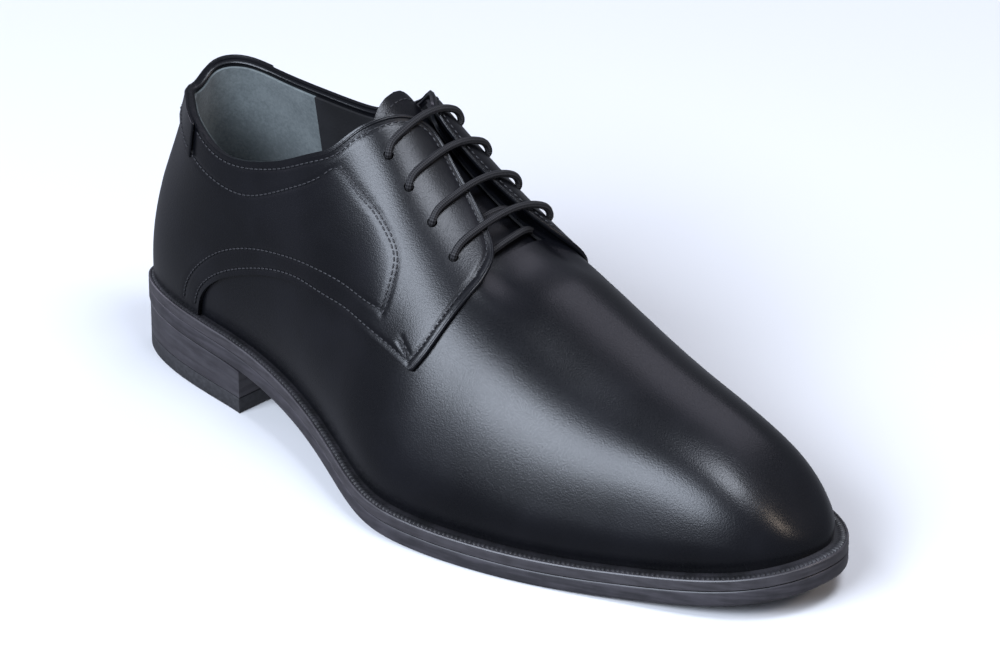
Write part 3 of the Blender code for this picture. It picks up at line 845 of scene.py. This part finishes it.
@dataclass
class Bottom:
    """Outsole, welt, stacked heel and top lift."""

    rib_pitch: float = 1.75
    rib_height: float = 0.60
    heel_inset: float = 0.5
    groove: float = 0.09
    welt_top: float = 7 / 15            # share of the welt's profile where its top starts
    outline: SoleOutline = field(default_factory=SoleOutline)

    def ring(self, name: str, profile: Callable[[Array, Array, Array], tuple[Array, Array]], cells: int,
             across: int) -> bpy.types.Object:
        """Closed ring round the sole.

        Args:
            name: Piece name.
            profile: Gives inset and height for shares across, stations and lengths round the sole.
            cells: Cells round the sole.
            across: Cells round the profile.

        Returns:
            The ring.
        """
        def place(u: Array, v: Array) -> Array:
            point, inward = self.outline.at(u)
            inset, height = profile(v, point[:, 0], u * self.outline.total)
            plan = point + inward * inset[:, None]
            return np.column_stack([plan, height])

        return Sheets.closed(Sheets.grid(name, (cells, across), place, (self.outline.total, 1.0)), 35)

    def welt(self) -> bpy.types.Object:
        """Welt with its wheeled ribs round the top: inset, height and share of the ribs by knot."""
        knots = [(12.0, 5.9, 0), (6.0, 5.9, 0), (0.25, 5.9, 0), (0.0, 6.15, 0), (0.0, 8.6, 0), (0.05, 9.6, 0),
                 (0.35, 9.95, 0), (0.8, 9.95, 0.2), (1.15, 9.7, 0.8), (1.6, 9.9, 1), (2.4, 9.95, 1),
                 (2.9, 9.85, 0.8), (3.4, 9.7, 0.2), (4.2, 9.7, 0), (12.0, 9.9, 0), (12.0, 5.9, 0)]
        inset, level, ribbed = np.array(knots).T
        count = round(self.outline.total / self.rib_pitch)

        def profile(v: Array, x: Array, run: Array) -> tuple[Array, Array]:
            k = np.rint(v * (len(knots) - 1)).astype(int)
            wave = np.abs(np.sin(run / self.outline.total * math.pi * count)) ** 0.7
            return inset[k], Last.underside(x) + level[k] + (wave - 0.55) * ribbed[k] * self.rib_height

        return self.ring("welt_strip", profile, 2600, len(knots) - 1)

    def outsole(self) -> bpy.types.Object:
        """Outsole with its rounded lower edge and raised middle: share inwards, inset and height by knot."""
        knots = [(1.0, 0.0, 0), (0.98, 0.0, 0), (0.8, 0.0, 0), (0.4, 0.0, 0), (0.0, 1.2, 0),
                 (0.0, 0.45, 0.25), (0.0, 0.1, 0.8), (0.0, 0.0, 1.4), (0.0, 0.0, 5.0), (0.0, 0.12, 5.35),
                 (0.0, 0.3, OUTSOLE), (0.0, 12.3, OUTSOLE), (0.0, 12.3, 9.9), (0.5, 12.3, 9.9),
                 (1.0, 0.0, 9.9)]
        inner, inset, level = np.array(knots).T

        def place(u: Array, v: Array) -> Array:
            k = np.rint(v * (len(knots) - 1)).astype(int)
            point, inward = self.outline.at(u)
            edge = point + inward * inset[k][:, None]
            middle_x = np.clip(edge[:, 0], 24.0, LENGTH - 26.0)
            middle = np.stack([middle_x, PLAN["centre"](middle_x)], 1)
            plan = edge + (middle - edge) * inner[k][:, None]
            return np.column_stack([plan, Last.underside(plan[:, 0]) + level[k]])

        made = Sheets.grid("outsole_tread", (640, len(knots) - 1), place, (self.outline.total, 1.0))
        return Sheets.closed(made, 35)

    def heel_line(self) -> Array:
        """Closed plan line of the heel, from the breast round the back, evenly sampled."""
        inset = self.heel_inset
        ends = inset + (1 - np.cos(np.linspace(0, math.pi / 2, 400))) * (HEEL_BREAST - inset)
        sides = {}
        for side in Side:
            y = Last.outline(side, ends, inset)
            lean = HEEL_SLANT * np.maximum(0.0, (ends - HEEL_BREAST + 24) / 24)
            sides[side] = np.stack([ends + lean * y, y], 1)
        line = np.concatenate([sides[Side.OUTER][::-1], sides[Side.INNER][1:]])
        run = lengths(line)
        arc = sample(np.linspace(0, run[-1], 181), run, line)
        front = arc[-1] + (arc[0] - arc[-1]) * np.linspace(0, 1, 42)[1:, None]
        return np.concatenate([arc, front])

    def heel_block(self, name: str,
                   levels: Sequence[tuple[float, Callable[[Array], Array]]]) -> bpy.types.Object:
        """Solid over the heel's plan line.

        Args:
            name: Piece name.
            levels: Inset and height function of each line up its side.

        Returns:
            The closed solid.
        """
        line = self.heel_line()
        tangent = np.roll(line, -2, 0) - np.roll(line, 2, 0)
        tangent[0] = tangent[-1] = line[1] - line[-2]
        tangent /= np.maximum(np.linalg.norm(tangent, axis=1), 1e-9)[:, None]
        inward = np.stack([tangent[:, 1], -tangent[:, 0]], 1)
        if float(((np.array([35.0, -1.5]) - line) * inward).sum()) < 0:
            inward = -inward
        rows = [levels[0], *levels, levels[-1]]
        last = len(rows) - 1
        insets = np.array([row[0] for row in rows])

        def place(u: Array, v: Array) -> Array:
            j = np.rint(u * (len(line) - 1)).astype(int)
            k = np.rint(v * last).astype(int)
            plan = line[j] + inward[j] * insets[k][:, None]
            middle = np.stack([np.clip(plan[:, 0], 30.0, 52.0), np.full(len(plan), -1.6)], 1)
            plan = np.where(((k == 0) | (k == last))[:, None], middle, plan)
            height = np.stack([row[1](plan[:, 0]) for row in rows], 1)[np.arange(len(k)), k]
            return np.column_stack([plan, height])

        return Sheets.closed(Sheets.grid(name, (len(line) - 1, last), place), 32)

    def stack(self) -> bpy.types.Object:
        """Heel stack: three layers with a fine groove between each."""
        def between(share: float) -> Callable[[Array], Array]:
            return lambda x: TOP_LIFT + GAP + share * (Last.underside(x) - 2 * GAP - TOP_LIFT)

        levels = [(0.15, between(0.0)), (0.0, between(0.015))]
        for cut in (0.34, 0.67):
            levels += [(0.0, between(cut - 0.03)), (self.groove, between(cut)), (0.0, between(cut + 0.03))]
        return self.heel_block("heel_layers", levels + [(0.0, between(0.985)), (0.15, between(1.0))])

    def lift(self) -> bpy.types.Object:
        """Top lift with softened edges."""
        lines = [(0.6, 0.0), (0.15, 0.18), (0.0, 0.6), (0.0, TOP_LIFT - 0.25), (0.15, TOP_LIFT)]
        levels = [(inset, lambda x, z=z: np.full_like(x, z)) for inset, z in lines]
        return self.heel_block("heel_lift", levels)

    def build(self) -> None:
        """Make and dress the four pieces."""
        rubber = EdgeDressing("sole_edge_dressing").make()
        ridge = EdgeDressing("welt_dressing", (0.022, 0.020, 0.023), (0.040, 0.037, 0.042), 0.40).make()
        # The welt's top is dressed much darker than its edge: painted shade in the crevice under the upper's
        # overhang.
        shade = EdgeDressing("welt_top_painted_shade", (0.006, 0.006, 0.007), (0.016, 0.015, 0.018)).make()
        layers = EdgeDressing("heel_layer_dressing", (0.020, 0.018, 0.022), (0.036, 0.034, 0.039), 0.40,
                              700.0).make()
        lift = Plain("top_lift_black", (0.014, 0.014, 0.016), 0.62).make()
        Piece(self.outsole(), "dark_sole_rubber", ("outsole",)).settle(rubber)
        welt = Piece(self.welt(), "welt_leather", ("welt",)).settle(ridge, shade)
        # Faces on the welt's top take the darker finish, the painted shade under the upper.
        for face, share in zip(welt.data.polygons, Sheets.face_map(welt)[:, 1]):
            face.material_index = int(share > self.welt_top)
        Piece(self.stack(), "heel_stack", ("heel_stack",)).settle(layers)
        Piece(self.lift(), "top_lift_rubber", ("top_lift",)).settle(lift)


class Stitching:
    """Rows of stitches laid on the leather."""

    def __init__(self, long: float = 1.8, wide: float = 0.66, pitch: float = 2.3) -> None:
        """Keep a stitch's length and width and the distance from stitch to stitch."""
        self.long, self.wide, self.pitch = long, wide, pitch
        self.rows: list[tuple[Array, Array]] = []

    def row(self, points: Array, normals: Array) -> None:
        """Add a row of stitches.

        Args:
            points: Fine path in millimetres.
            normals: Surface normals along it.
        """
        run = lengths(points)
        at = np.arange(self.pitch * 0.5, run[-1] - self.pitch * 0.4, self.pitch)
        ends = [sample(at + shift, run, points) for shift in (-self.long / 2, 0.0, self.long / 2)]
        up = sample(at, run, normals)
        for low, middle, high, normal in zip(*ends, up):
            self.rows.append((np.array([low, middle, high]), normal))

    def build(self, name: str) -> bpy.types.Object:
        """One mesh of every stitch, copied from a single modelled stitch.

        Args:
            name: Piece name.

        Returns:
            The joined stitches.
        """
        bpy.ops.object.select_all(action="DESELECT")
        bpy.ops.mesh.primitive_uv_sphere_add(segments=7, ring_count=6, radius=1.0)
        one = bpy.context.object
        shape = np.array([v.co[:] for v in one.data.vertices])
        faces = [tuple(p.vertices) for p in one.data.polygons]
        points, polygons = [], []
        for ends, normal in self.rows:
            along = ends[2] - ends[0]
            reach = np.linalg.norm(along)
            along = along / reach
            normal = normal - along * float(normal @ along)
            normal = normal / np.linalg.norm(normal)
            side = np.cross(along, normal)
            shift = len(points) * len(shape)
            local = (np.sign(shape[:, 2]) * np.abs(shape[:, 2]) ** 0.8)[:, None] * along * (reach / 2)
            local = local + shape[:, :1] * side * (self.wide / 2) + shape[:, 1:2] * normal * (self.wide / 2)
            points.append((ends[1] + local) * MM)
            polygons += [tuple(c + shift for c in f) for f in faces]
        mesh = bpy.data.meshes.new(name)
        mesh.from_pydata(np.concatenate(points).tolist(), [], polygons)
        bpy.data.objects.remove(one)
        made = bpy.data.objects.new(name, mesh)
        bpy.context.scene.collection.objects.link(made)
        return Sheets.closed(made, 80)


@dataclass
class Pattern:
    """Seams, stitch rows and edges of one side, as fine lines of station and girth."""

    side: int
    top_margin: float = 2.4
    front_margin: float = 2.2
    arc_margin: float = 1.7

    def line(self, stations: Sequence[float], girths: Sequence[float]) -> Array:
        """Fine evenly spaced line through a short table."""
        flat = np.stack([np.asarray(stations, float), np.asarray(girths, float) * 100], 1)
        return Sheets.resample(flat, 0.5) / (1, 100)

    def edge(self) -> Array:
        """Topline and facing edge from the back seam to the nose."""
        return np.stack(EDGE_LINE[self.side], 1)

    def low(self) -> Array:
        """Lower and front edge of the quarter, from the welt to the nose."""
        return np.stack(LOW_LINE[self.side], 1)

    def points(self, line: Array, out: float) -> Array:
        """Points of a line at a distance from the leather's face."""
        return Last.point(self.side, line[:, 0], line[:, 1], out)

    def normals(self, line: Array, out: float) -> Array:
        """Surface normals along a line."""
        return Last.normal(self.side, line[:, 0], line[:, 1], out)

    def even(self, line: Array, out: float, pitch: float) -> Array:
        """The same line with samples a set distance apart."""
        return evenly(self.points(line, out), pitch, line)

    def inside(self, line: Array, distance: float, turn: int) -> Array:
        """Line moved sideways over the surface.

        Args:
            line: Stations and girths.
            distance: Millimetres.
            turn: 1 to the left of the line's way over the unrolled side, -1 to the right.

        Returns:
            Stations and girths of the moved line.
        """
        line = self.even(line, 0.0, 1.0)
        x, v = line[:, 0], line[:, 1]
        side = self.side
        scale_x = np.linalg.norm(Last.point(side, x + 0.5, v) - Last.point(side, x - 0.5, v), axis=1)
        scale_v = np.linalg.norm(Last.point(side, x, np.minimum(v + 0.005, 1.0))
                                 - Last.point(side, x, v - 0.005), axis=1) / 0.01
        way = np.stack([np.gradient(x) * scale_x, np.gradient(v) * scale_v], 1)
        way /= np.maximum(np.linalg.norm(way, axis=1), 1e-9)[:, None]
        reach = turn * distance
        return np.stack([x - way[:, 1] * reach / scale_x, v + way[:, 0] * reach / scale_v], 1)

    def rows(self) -> list[Array]:
        """Every stitch row of the quarter."""
        top = self.inside(self.edge(), self.top_margin, -1)
        front = self.inside(self.low(), self.front_margin, 1)
        rows = [top[(top[:, 0] > TAB_END) & (top[:, 0] < 165.5)], front[front[:, 1] > 0.03]]
        rows += [self.line(*table) for table in STITCH_ROWS]
        return rows + [self.inside(self.line(*FACING_ARC), self.arc_margin, 1)]


@dataclass
class Upper:
    """Vamp with its wings, quarters, heel tab, tongue, lining and their stitches."""

    calf: bpy.types.Material
    facing: bpy.types.Material
    stitches: Stitching = field(default_factory=Stitching)
    trough: float = 0.34        # depth along a stitch row
    roll: float = 0.75          # half the width of the folded rim

    @staticmethod
    def station(u: Array) -> Array:
        """Stations of the whole upper: crowded at the heel and toe, one line exactly at the throat."""
        split = (THROAT - FIRST) / (LAST - FIRST)
        back = FIRST + (THROAT - FIRST) * (1 - np.cos(np.minimum(u / split, 1) * math.pi / 2))
        front = THROAT + (LAST - THROAT) * np.sin(np.maximum((u - split) / (1 - split), 0) * math.pi / 2)
        return np.where(u < split, back, front)

    @staticmethod
    def wall_edge(side: int, x: Array) -> Array:
        """Girth where the wall ends, or where the vamp closes over the toe."""
        edge = np.interp(np.minimum(x, THROAT), *EDGE_LINE[side]) - 0.006
        return np.where(x >= THROAT, edge + (0.86 - edge) * np.clip((x - THROAT) / 60, 0, 1), edge)

    @staticmethod
    def throat_dip(x: Array, girth: Array) -> Array:
        """How far the vamp sinks between the facings, where it runs on as the tongue."""
        return THROAT_DIP * ease((190.0 - x) / 25.0) * ease((0.22 - np.abs(girth)) / 0.12)

    def shell(self, name: str, out: float, counts: tuple[int, int]) -> bpy.types.Object:
        """Sheet over the whole upper, open at collar, throat and foot.

        Args:
            name: Piece name.
            out: Distance of its outer face from the leather's face.
            counts: Cells along and across.

        Returns:
            The open sheet.
        """
        wing, span = 0.38, (300.0, 200.0)

        def place(u: Array, v: Array) -> Array:
            x = self.station(u)
            edges = {side: self.wall_edge(side, x) for side in Side}
            low = edges[Side.OUTER] * np.clip(v / wing, 0, 1)
            high = edges[Side.INNER] * np.clip((1 - v) / wing, 0, 1)
            middle = np.clip((v - wing) / (1 - 2 * wing), 0, 1)
            girth = np.where(v <= wing, low - 1, np.where(v >= 1 - wing, 1 - high,
                             (edges[Side.OUTER] - 1) + (2 - edges[Side.OUTER] - edges[Side.INNER]) * middle))
            face = out - self.throat_dip(x, girth)
            return Last.pick(girth, lambda side: Last.point(side, x, 1 - np.abs(girth), face))

        made = Sheets.grid(name, counts, place, span)
        centre = Sheets.face_map(made) / span
        cell = (np.clip((centre[:, 1] * counts[1]).astype(int), 0, counts[1] - 1) + 0.5) / counts[1]
        behind = centre[:, 0] < (THROAT - FIRST) / (LAST - FIRST)
        Sheets.drop_faces(made, behind & (cell > wing) & (cell < 1 - wing))
        return made

    def vamp(self) -> bpy.types.Object:
        """Vamp and wings as one outer leather."""
        return Sheets.wall(self.shell("vamp", 0.0, (220, 150)), VAMP)

    def lining(self) -> bpy.types.Object:
        """Lining inside the upper: napped at the heel, smooth ahead of its seam."""
        depth = VAMP + 0.15
        return Sheets.wall(self.shell("lining", -depth, (154, 90)), WALL - depth)

    def quarter(self, side: int, rows: Sequence[Array]) -> bpy.types.Object:
        """Quarter laid over the vamp, with a shallow trough along each stitch row."""
        nose = EDGE_LINE[side][0][-1]
        spots = np.concatenate([Pattern(side).points(row, QUARTER_FACE) for row in rows])
        tree = KDTree(len(spots))
        for count, spot in enumerate(spots):
            tree.insert(spot, count)
        tree.balance()

        def place(u: Array, v: Array) -> Array:
            x = FIRST + 0.002 + (nose - FIRST - 0.002) * (1 - np.cos(u * math.pi)) / 2
            low = np.interp(x, *LOW_LINE[side], left=0.0)
            low = np.where(x < QUARTER_LOW[side][0][0], 0.0, low)
            high = np.maximum(np.interp(x, *EDGE_LINE[side]), low)
            girth = low + (high - low) * ((1 - np.cos(v * math.pi)) / 2 * 0.5 + v * 0.5)
            near = np.array([tree.find(p)[2] for p in Last.point(side, x, girth, QUARTER_FACE)])
            return Last.point(side, x, girth, QUARTER_FACE - self.trough * np.exp(-(near / 0.9) ** 2))

        name = "quarter_outer" if side < 0 else "quarter_inner"
        made = Sheets.grid(name, (230, 76), place, (170.0, 90.0))
        return Sheets.wall(made, OVERLAY - 0.05, rim=1, bevel=0.4)

    def rim_line(self, side: int) -> tuple[Array, Array, Array]:
        """Collar and facing edge of one side, from the back seam to the front corner.

        Args:
            side: -1 outer, 1 inner.

        Returns:
            Points, surface normals and the rim's height off the surface as a share of its width.
        """
        pattern = Pattern(side)
        low = pattern.low()
        corner = int(np.argmin(np.abs(low[:, 0] - QUARTER_LOW[side][0][QUARTER_CORNER])))
        line = np.concatenate([pattern.edge(), low[corner:][::-1][1:]])
        line = pattern.even(line, QUARTER_FACE, 0.7)
        line[:, 1] -= 0.004
        share = ease((line[:, 0] - FACING_START) / 12.0) * (np.arange(len(line)) > 20)
        behind = np.clip((TAB_END + 3.0 - line[:, 0]) / 8.0, 0, 1)
        out = share * (QUARTER_FACE - self.roll) + (1 - share) * 0.2 + behind * 0.55
        points = Last.point(side, line[:, 0], line[:, 1], out)
        return points, pattern.normals(line, QUARTER_FACE), 1.2 * share + 1.75 * (1 - share) + 0.75 * behind

    def edge_roll(self) -> bpy.types.Object:
        """Folded rim round the collar and down both facings, as one piece."""
        outer, inner = self.rim_line(Side.OUTER), self.rim_line(Side.INNER)
        kernel = np.ones(7) / 7
        smoothed = []
        for a, b in zip(outer, inner):
            table = np.concatenate([a[::-1], b[1:]]).reshape(len(a) + len(b) - 1, -1)
            padded = np.pad(table, ((3, 3), (0, 0)), mode="edge")
            smoothed.append(np.stack([np.convolve(column, kernel, mode="valid") for column in padded.T], 1))
        points, normals, tall = smoothed
        return Sheets.tube("edge_roll", points, self.roll, 12, tall[:, 0], normals)

    def tab(self) -> bpy.types.Object:
        """Heel tab round the back of the collar."""
        def place(u: Array, v: Array) -> Array:
            x = FIRST + (TAB_END - FIRST) * np.abs(2 * u - 1) ** 2
            low = np.interp(x, *TAB_LOW)
            return Last.pick(u - 0.5, lambda side: Last.point(
                side, x, low + (np.interp(x, *EDGE_LINE[side]) - 0.004 - low) * v, TAB_FACE))

        return Sheets.wall(Sheets.grid("back_tab", (90, 24), place, (80.0, 22.0)), TAB - 0.02, bevel=0.35)

    @staticmethod
    def tongue_half(share: Array, start: float = 0.0) -> Array:
        """Half width of the tongue in girth at a share of its length, rounded off from a starting share."""
        round_off = np.clip(1 - (1 - np.minimum(1.0, (share - start) / 0.2)) ** 2.4, 0, 1)
        return (0.285 - 0.08 * share) * np.sqrt(round_off)

    def tongue(self) -> bpy.types.Object:
        """Tongue below the lacing, its top rounded."""
        top, root = TONGUE_SPAN

        def place(u: Array, v: Array) -> Array:
            share = u ** 1.3
            girth = self.tongue_half(share) * (2 * v - 1)
            return Last.spot(top + (root - top) * share, girth, -TONGUE_DROP)

        made = Sheets.grid("tongue_flap", (110, 56), place, (74.0, 45.0))
        return Sheets.wall(made, TONGUE_THICK - 0.05, bevel=0.5)

    def tongue_row(self) -> tuple[Array, Array]:
        """Points and normals of the stitch row inside the tongue's rounded edge."""
        share = np.linspace(0.045, 0.62, 60)
        half = np.maximum(self.tongue_half(share, 0.04) - 0.030, 0.0)
        x = TONGUE_SPAN[0] + (TONGUE_SPAN[1] - TONGUE_SPAN[0]) * share
        line = np.concatenate([np.stack([x, -half], 1)[::-1], np.stack([x, half], 1)[1:]])
        fine = Sheets.resample(line * (1, 100), 0.5) / (1, 100)
        points = Last.spot(fine[:, 0], fine[:, 1], -TONGUE_DROP + 0.05)
        normals = Last.spot(fine[:, 0], fine[:, 1], -TONGUE_DROP + 1.0) - points
        return points, normals / np.linalg.norm(normals, axis=1)[:, None]

    def pierce(self, made: bpy.types.Object, sides: Sequence[int]) -> None:
        """Cut the blind eyelets through a piece.

        Args:
            made: The piece.
            sides: Which sides' eyelets to cut.
        """
        for side in sides:
            for x, v in EYELETS[side]:
                centre = Last.point(side, x, v, 0.0)
                axis = Vector(Last.normal(side, np.array(x), np.array(v)))
                bpy.ops.object.select_all(action="DESELECT")
                bpy.ops.mesh.primitive_cylinder_add(vertices=28, radius=HOLE_RADIUS * MM, depth=9 * MM)
                knife = bpy.context.object
                turn = axis.to_track_quat("Z", "Y").to_matrix().to_4x4()
                knife.data.transform(Matrix.Translation(Vector(centre) * MM) @ turn)
                Sheets.modify(made, "BOOLEAN", operation="DIFFERENCE", solver="EXACT", object=knife)
                bpy.data.objects.remove(knife)

    def dress(self, made: bpy.types.Object, slot: str, nodes: tuple[str, ...], *finishes: bpy.types.Material,
              sides: Sequence[int] = ()) -> bpy.types.Object:
        """Pierce, smooth and settle one piece.

        Args:
            made: The piece.
            slot: Name of its material slot, kept on the piece.
            nodes: The nodes that it replaces.
            finishes: Its materials in slot order.
            sides: Which sides' eyelets go through it.

        Returns:
            The piece's object.
        """
        self.pierce(made, sides)
        Sheets.smooth(made, 50)
        return Piece(made, slot, nodes).settle(*finishes)

    def build(self) -> None:
        """Make, pierce and dress every piece of the upper."""
        suede = Suede("heel_lining_suede").make()
        inner = Calf("lining_black", (0.012, 0.012, 0.013), (0.02, 0.02, 0.022), 0.5, 900.0, 0.08, 0.0).make()
        cut = EdgeDressing("folded_edge_dressing", (0.045, 0.040, 0.038), (0.11, 0.10, 0.095), 0.45,
                           500.0).make()
        thread = Plain("black_thread", (0.007, 0.007, 0.009), 0.55, 1500.0, 0.05).make()
        self.dress(self.vamp(), "black_calf", ("upper",), self.calf, sides=tuple(Side))
        lining = self.dress(self.lining(), "black_calf", (), suede, inner, sides=tuple(Side))
        for face in lining.data.polygons:
            face.material_index = int(face.center.x > LINING_SEAM * MM)
        for side in Side:
            pattern = Pattern(side)
            rows = pattern.rows()
            node = "quarter_lateral" if side < 0 else "quarter_medial"
            made = self.quarter(side, rows)
            self.dress(made, "black_calf_quarter", (node,), self.facing, cut, sides=(side,))
            for row in rows:
                row = pattern.even(row, QUARTER_FACE, 0.5)
                sunk = pattern.points(row, QUARTER_FACE - 0.14)
                self.stitches.row(sunk, pattern.normals(row, QUARTER_FACE))
            low = np.linspace(5, TAB_END, 60)
            line = np.stack([low, np.interp(low, *TAB_LOW) + 0.018], 1)
            self.stitches.row(pattern.points(line, TAB_FACE), pattern.normals(line, TAB_FACE))
        Piece(self.edge_roll(), "black_calf_quarter").settle(self.facing)
        self.dress(self.tab(), "black_calf_tab", ("heel_tab",), self.calf)
        self.dress(self.tongue(), "black_calf_tongue", ("tongue",), self.calf)
        self.stitches.row(*self.tongue_row())
        Piece(self.stitches.build("stitch_rows"), "black_calf_quarter").settle(thread)


@dataclass
class Lacing:
    """One round lace through all eight eyelets, its ends hidden below the top pair."""

    radius: float = LACE_RADIUS
    pitch: float = 0.45

    def eyelet(self, side: int, number: int) -> tuple[Array, Array]:
        """Centre and outward axis of one eyelet."""
        x, v = EYELETS[side][number]
        return Last.point(side, x, v, 0.0), Last.normal(side, np.array(x), np.array(v))

    def path(self) -> Array:
        """Points that the lace passes, from its hidden start to its hidden end."""
        over, under = QUARTER_FACE + self.radius + 0.35, -(WALL + self.radius + 0.6)
        place = {side: [(x, side * (1 - v)) for x, v in EYELETS[side]] for side in Side}

        def through(side: int, number: int, upwards: bool) -> list[Array]:
            centre, axis = self.eyelet(side, number)
            levels = (under - 0.2, -0.6, over - 1.1)
            return [centre + axis * level for level in (levels if upwards else levels[::-1])]

        def bar(number: int, start: int) -> list[Array]:
            (x0, g0), (x1, g1) = place[start][number], place[-start][number]
            lifts = ((0.06, 0.35), (0.2, 0.35), (0.4, 0.1), (0.6, 0.1), (0.8, 0.35), (0.94, 0.35))
            return [Last.spot(x0 + (x1 - x0) * f, g0 + (g1 - g0) * f, over + lift) for f, lift in lifts]

        def hidden(side: int, number: int) -> list[Array]:
            (x0, g0), (x1, g1) = place[side][number], place[side][number + 1]
            return [Last.spot(x0 + (x1 - x0) * f, g0 + (g1 - g0) * f, under - 0.2) for f in (0.25, 0.5, 0.75)]

        path = [Last.spot(place[Side.OUTER][0][0] - 3.5, place[Side.OUTER][0][1] - 0.03, under - 0.2)]
        for number in range(4):
            side = 1 if number % 2 else -1
            path += through(side, number, True) + bar(number, side) + through(-side, number, False)
            path += hidden(-side, number) if number < 3 else []
        path += [Last.spot(x, girth, under - drop) for x, girth, drop in CROSSING]
        return np.array(path)

    def build(self) -> None:
        """Make and dress the lace."""
        path = Sheets.resample(self.path(), self.pitch)
        made = Sheets.tube("lace_cord", path, self.radius, 16)
        LOG.info("lace length %.0f mm", float(np.linalg.norm(np.diff(path, axis=0), axis=1).sum()))
        Piece(made, "waxed_lace", ("lace",)).settle(Braid("waxed_braid").make())


@dataclass(frozen=True)
class SoftBox:
    """One soft light: its centre in metres, width and height, watts and tint."""

    name: str
    place: tuple[float, float, float]
    size: tuple[float, float]
    power: float
    colour: tuple[float, float, float]

    def hang(self, aim: Sequence[float]) -> None:
        """Hang the box so that it faces a point."""
        data = bpy.data.lights.new(self.name, "AREA")
        data.shape = "RECTANGLE"
        data.size, data.size_y = self.size
        data.energy, data.color = self.power, self.colour
        made = bpy.data.objects.new(self.name, data)
        way = (Vector(aim) - Vector(self.place)).to_track_quat("-Z", "Y").to_matrix().to_4x4()
        made.matrix_world = Matrix.Translation(Vector(self.place)) @ way
        bpy.context.scene.collection.objects.link(made)


SOFT_BOXES = (
    SoftBox("box_main", (0.08, -1.52, 1.22), (1.45, 0.80), 74.0, (0.78, 0.86, 1.0)),
    SoftBox("box_top", (0.95, -0.05, 1.95), (0.8, 0.55), 30.0, (0.82, 0.88, 1.0)),
    SoftBox("box_far", (0.10, 1.50, 1.90), (1.2, 0.7), 6.0, (0.86, 0.84, 1.0)),
    SoftBox("box_toe", (1.40, 0.32, 1.0), (0.25, 0.25), 3.4, (1.0, 0.84, 0.70)),
    SoftBox("box_side", (-1.5, -0.2, 0.35), (0.5, 0.6), 4.0, (0.84, 0.80, 1.0)))


@dataclass
class Studio:
    """Pale floor, soft lights and the camera at the photograph's angle."""

    lens: float = 136.8
    sensor: float = 36.0
    azimuth: float = 38.0
    elevation: float = 28.0
    distance: float = 1.98
    frame: tuple[int, int] = (1000, 667)
    anchor_pixel: tuple[float, float] = (235.77, 410.55)    # the heel breast's foot
    centre_pixel: tuple[float, float] = (408.5, 352.0)      # middle of the one shoe
    zoom: float = 1.48
    aim: tuple[float, float, float] = (0.16, 0.0, 0.05)
    floor_tone: float = 0.62
    sky: float = 0.30

    def off_axis(self, pixel: tuple[float, float]) -> tuple[float, float]:
        """Slopes to the right and upwards of the ray through a pixel."""
        focal = self.lens / self.sensor * self.frame[0]
        return (pixel[0] - self.frame[0] / 2) / focal, -(pixel[1] - self.frame[1] / 2) / focal

    def camera(self) -> None:
        """Camera at the photograph's place and angle, turned and zoomed to frame the one shoe."""
        a, e = math.radians(self.azimuth), math.radians(self.elevation)
        right = np.array([math.cos(a), math.sin(a), 0.0])
        level = np.array([-math.sin(a), math.cos(a), 0.0])
        ahead = level * math.cos(e) - np.array([0.0, 0.0, math.sin(e)])
        up = np.cross(right, ahead)
        across, rise = self.off_axis(self.anchor_pixel)
        target = np.array([HEEL_BREAST, float(Last.outline(Side.OUTER, np.array(HEEL_BREAST))), 0.0]) * MM
        spot = target - self.distance * (ahead + across * right + rise * up)
        across, rise = self.off_axis(self.centre_pixel)
        ahead = ahead + across * right + rise * up
        ahead = ahead / np.linalg.norm(ahead)
        right = np.cross(ahead, (0.0, 0.0, 1.0))
        right = right / np.linalg.norm(right)
        axes = (right, np.cross(right, ahead), -ahead, spot)
        data = bpy.data.cameras.new("camera")
        data.lens, data.sensor_width = self.lens * self.zoom, self.sensor
        data.clip_start, data.clip_end = 0.05, 50.0
        made = bpy.data.objects.new("camera", data)
        made.matrix_world = Matrix((*np.stack(axes, 1).tolist(), (0, 0, 0, 1)))
        bpy.context.scene.collection.objects.link(made)
        bpy.context.scene.camera = made

    def build(self) -> None:
        """Set floor, lights, world and camera; the leather doesn't mirror the white floor."""
        bpy.ops.object.select_all(action="DESELECT")
        bpy.ops.mesh.primitive_plane_add(size=5.0, location=(0.15, 0.0, 0.0))
        floor = bpy.context.object
        floor.name = "floor"
        board = Board("white_paper")
        board.set(Base_Color=(self.floor_tone, self.floor_tone, self.floor_tone * 1.01, 1.0), Roughness=0.85,
                  Specular_IOR_Level=0.05)
        floor.data.materials.append(board.material)
        floor.visible_glossy = False
        world = bpy.data.worlds.new("studio")
        bpy.context.scene.world = world
        world.use_nodes = True
        backdrop = world.node_tree.nodes["Background"].inputs
        backdrop["Color"].default_value = (0.80, 0.85, 1.0, 1.0)
        backdrop["Strength"].default_value = self.sky
        bpy.context.scene.view_settings.view_transform = "Standard"
        for box in SOFT_BOXES:
            box.hang(self.aim)
        self.camera()


def main() -> None:
    """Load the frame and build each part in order."""
    logging.basicConfig(level=logging.INFO, format="%(message)s")
    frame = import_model()
    calf = Calf("vamp_calf").make()
    facing = Calf("quarter_calf", roughness=0.27).make()
    Studio().build()
    Bottom().build()
    Upper(calf, facing).build()
    Lacing().build()
    sock = Calf("sock_lining", (0.012, 0.012, 0.012), (0.02, 0.02, 0.02), 0.5, 800.0, 0.08, 0.0).make()
    insole = frame["nodes"]["insole"]
    insole.data.materials.clear()
    insole.data.materials.append(sock)
    LOG.info("insole: kept, with a new finish")


if __name__ == "__main__":
    main()
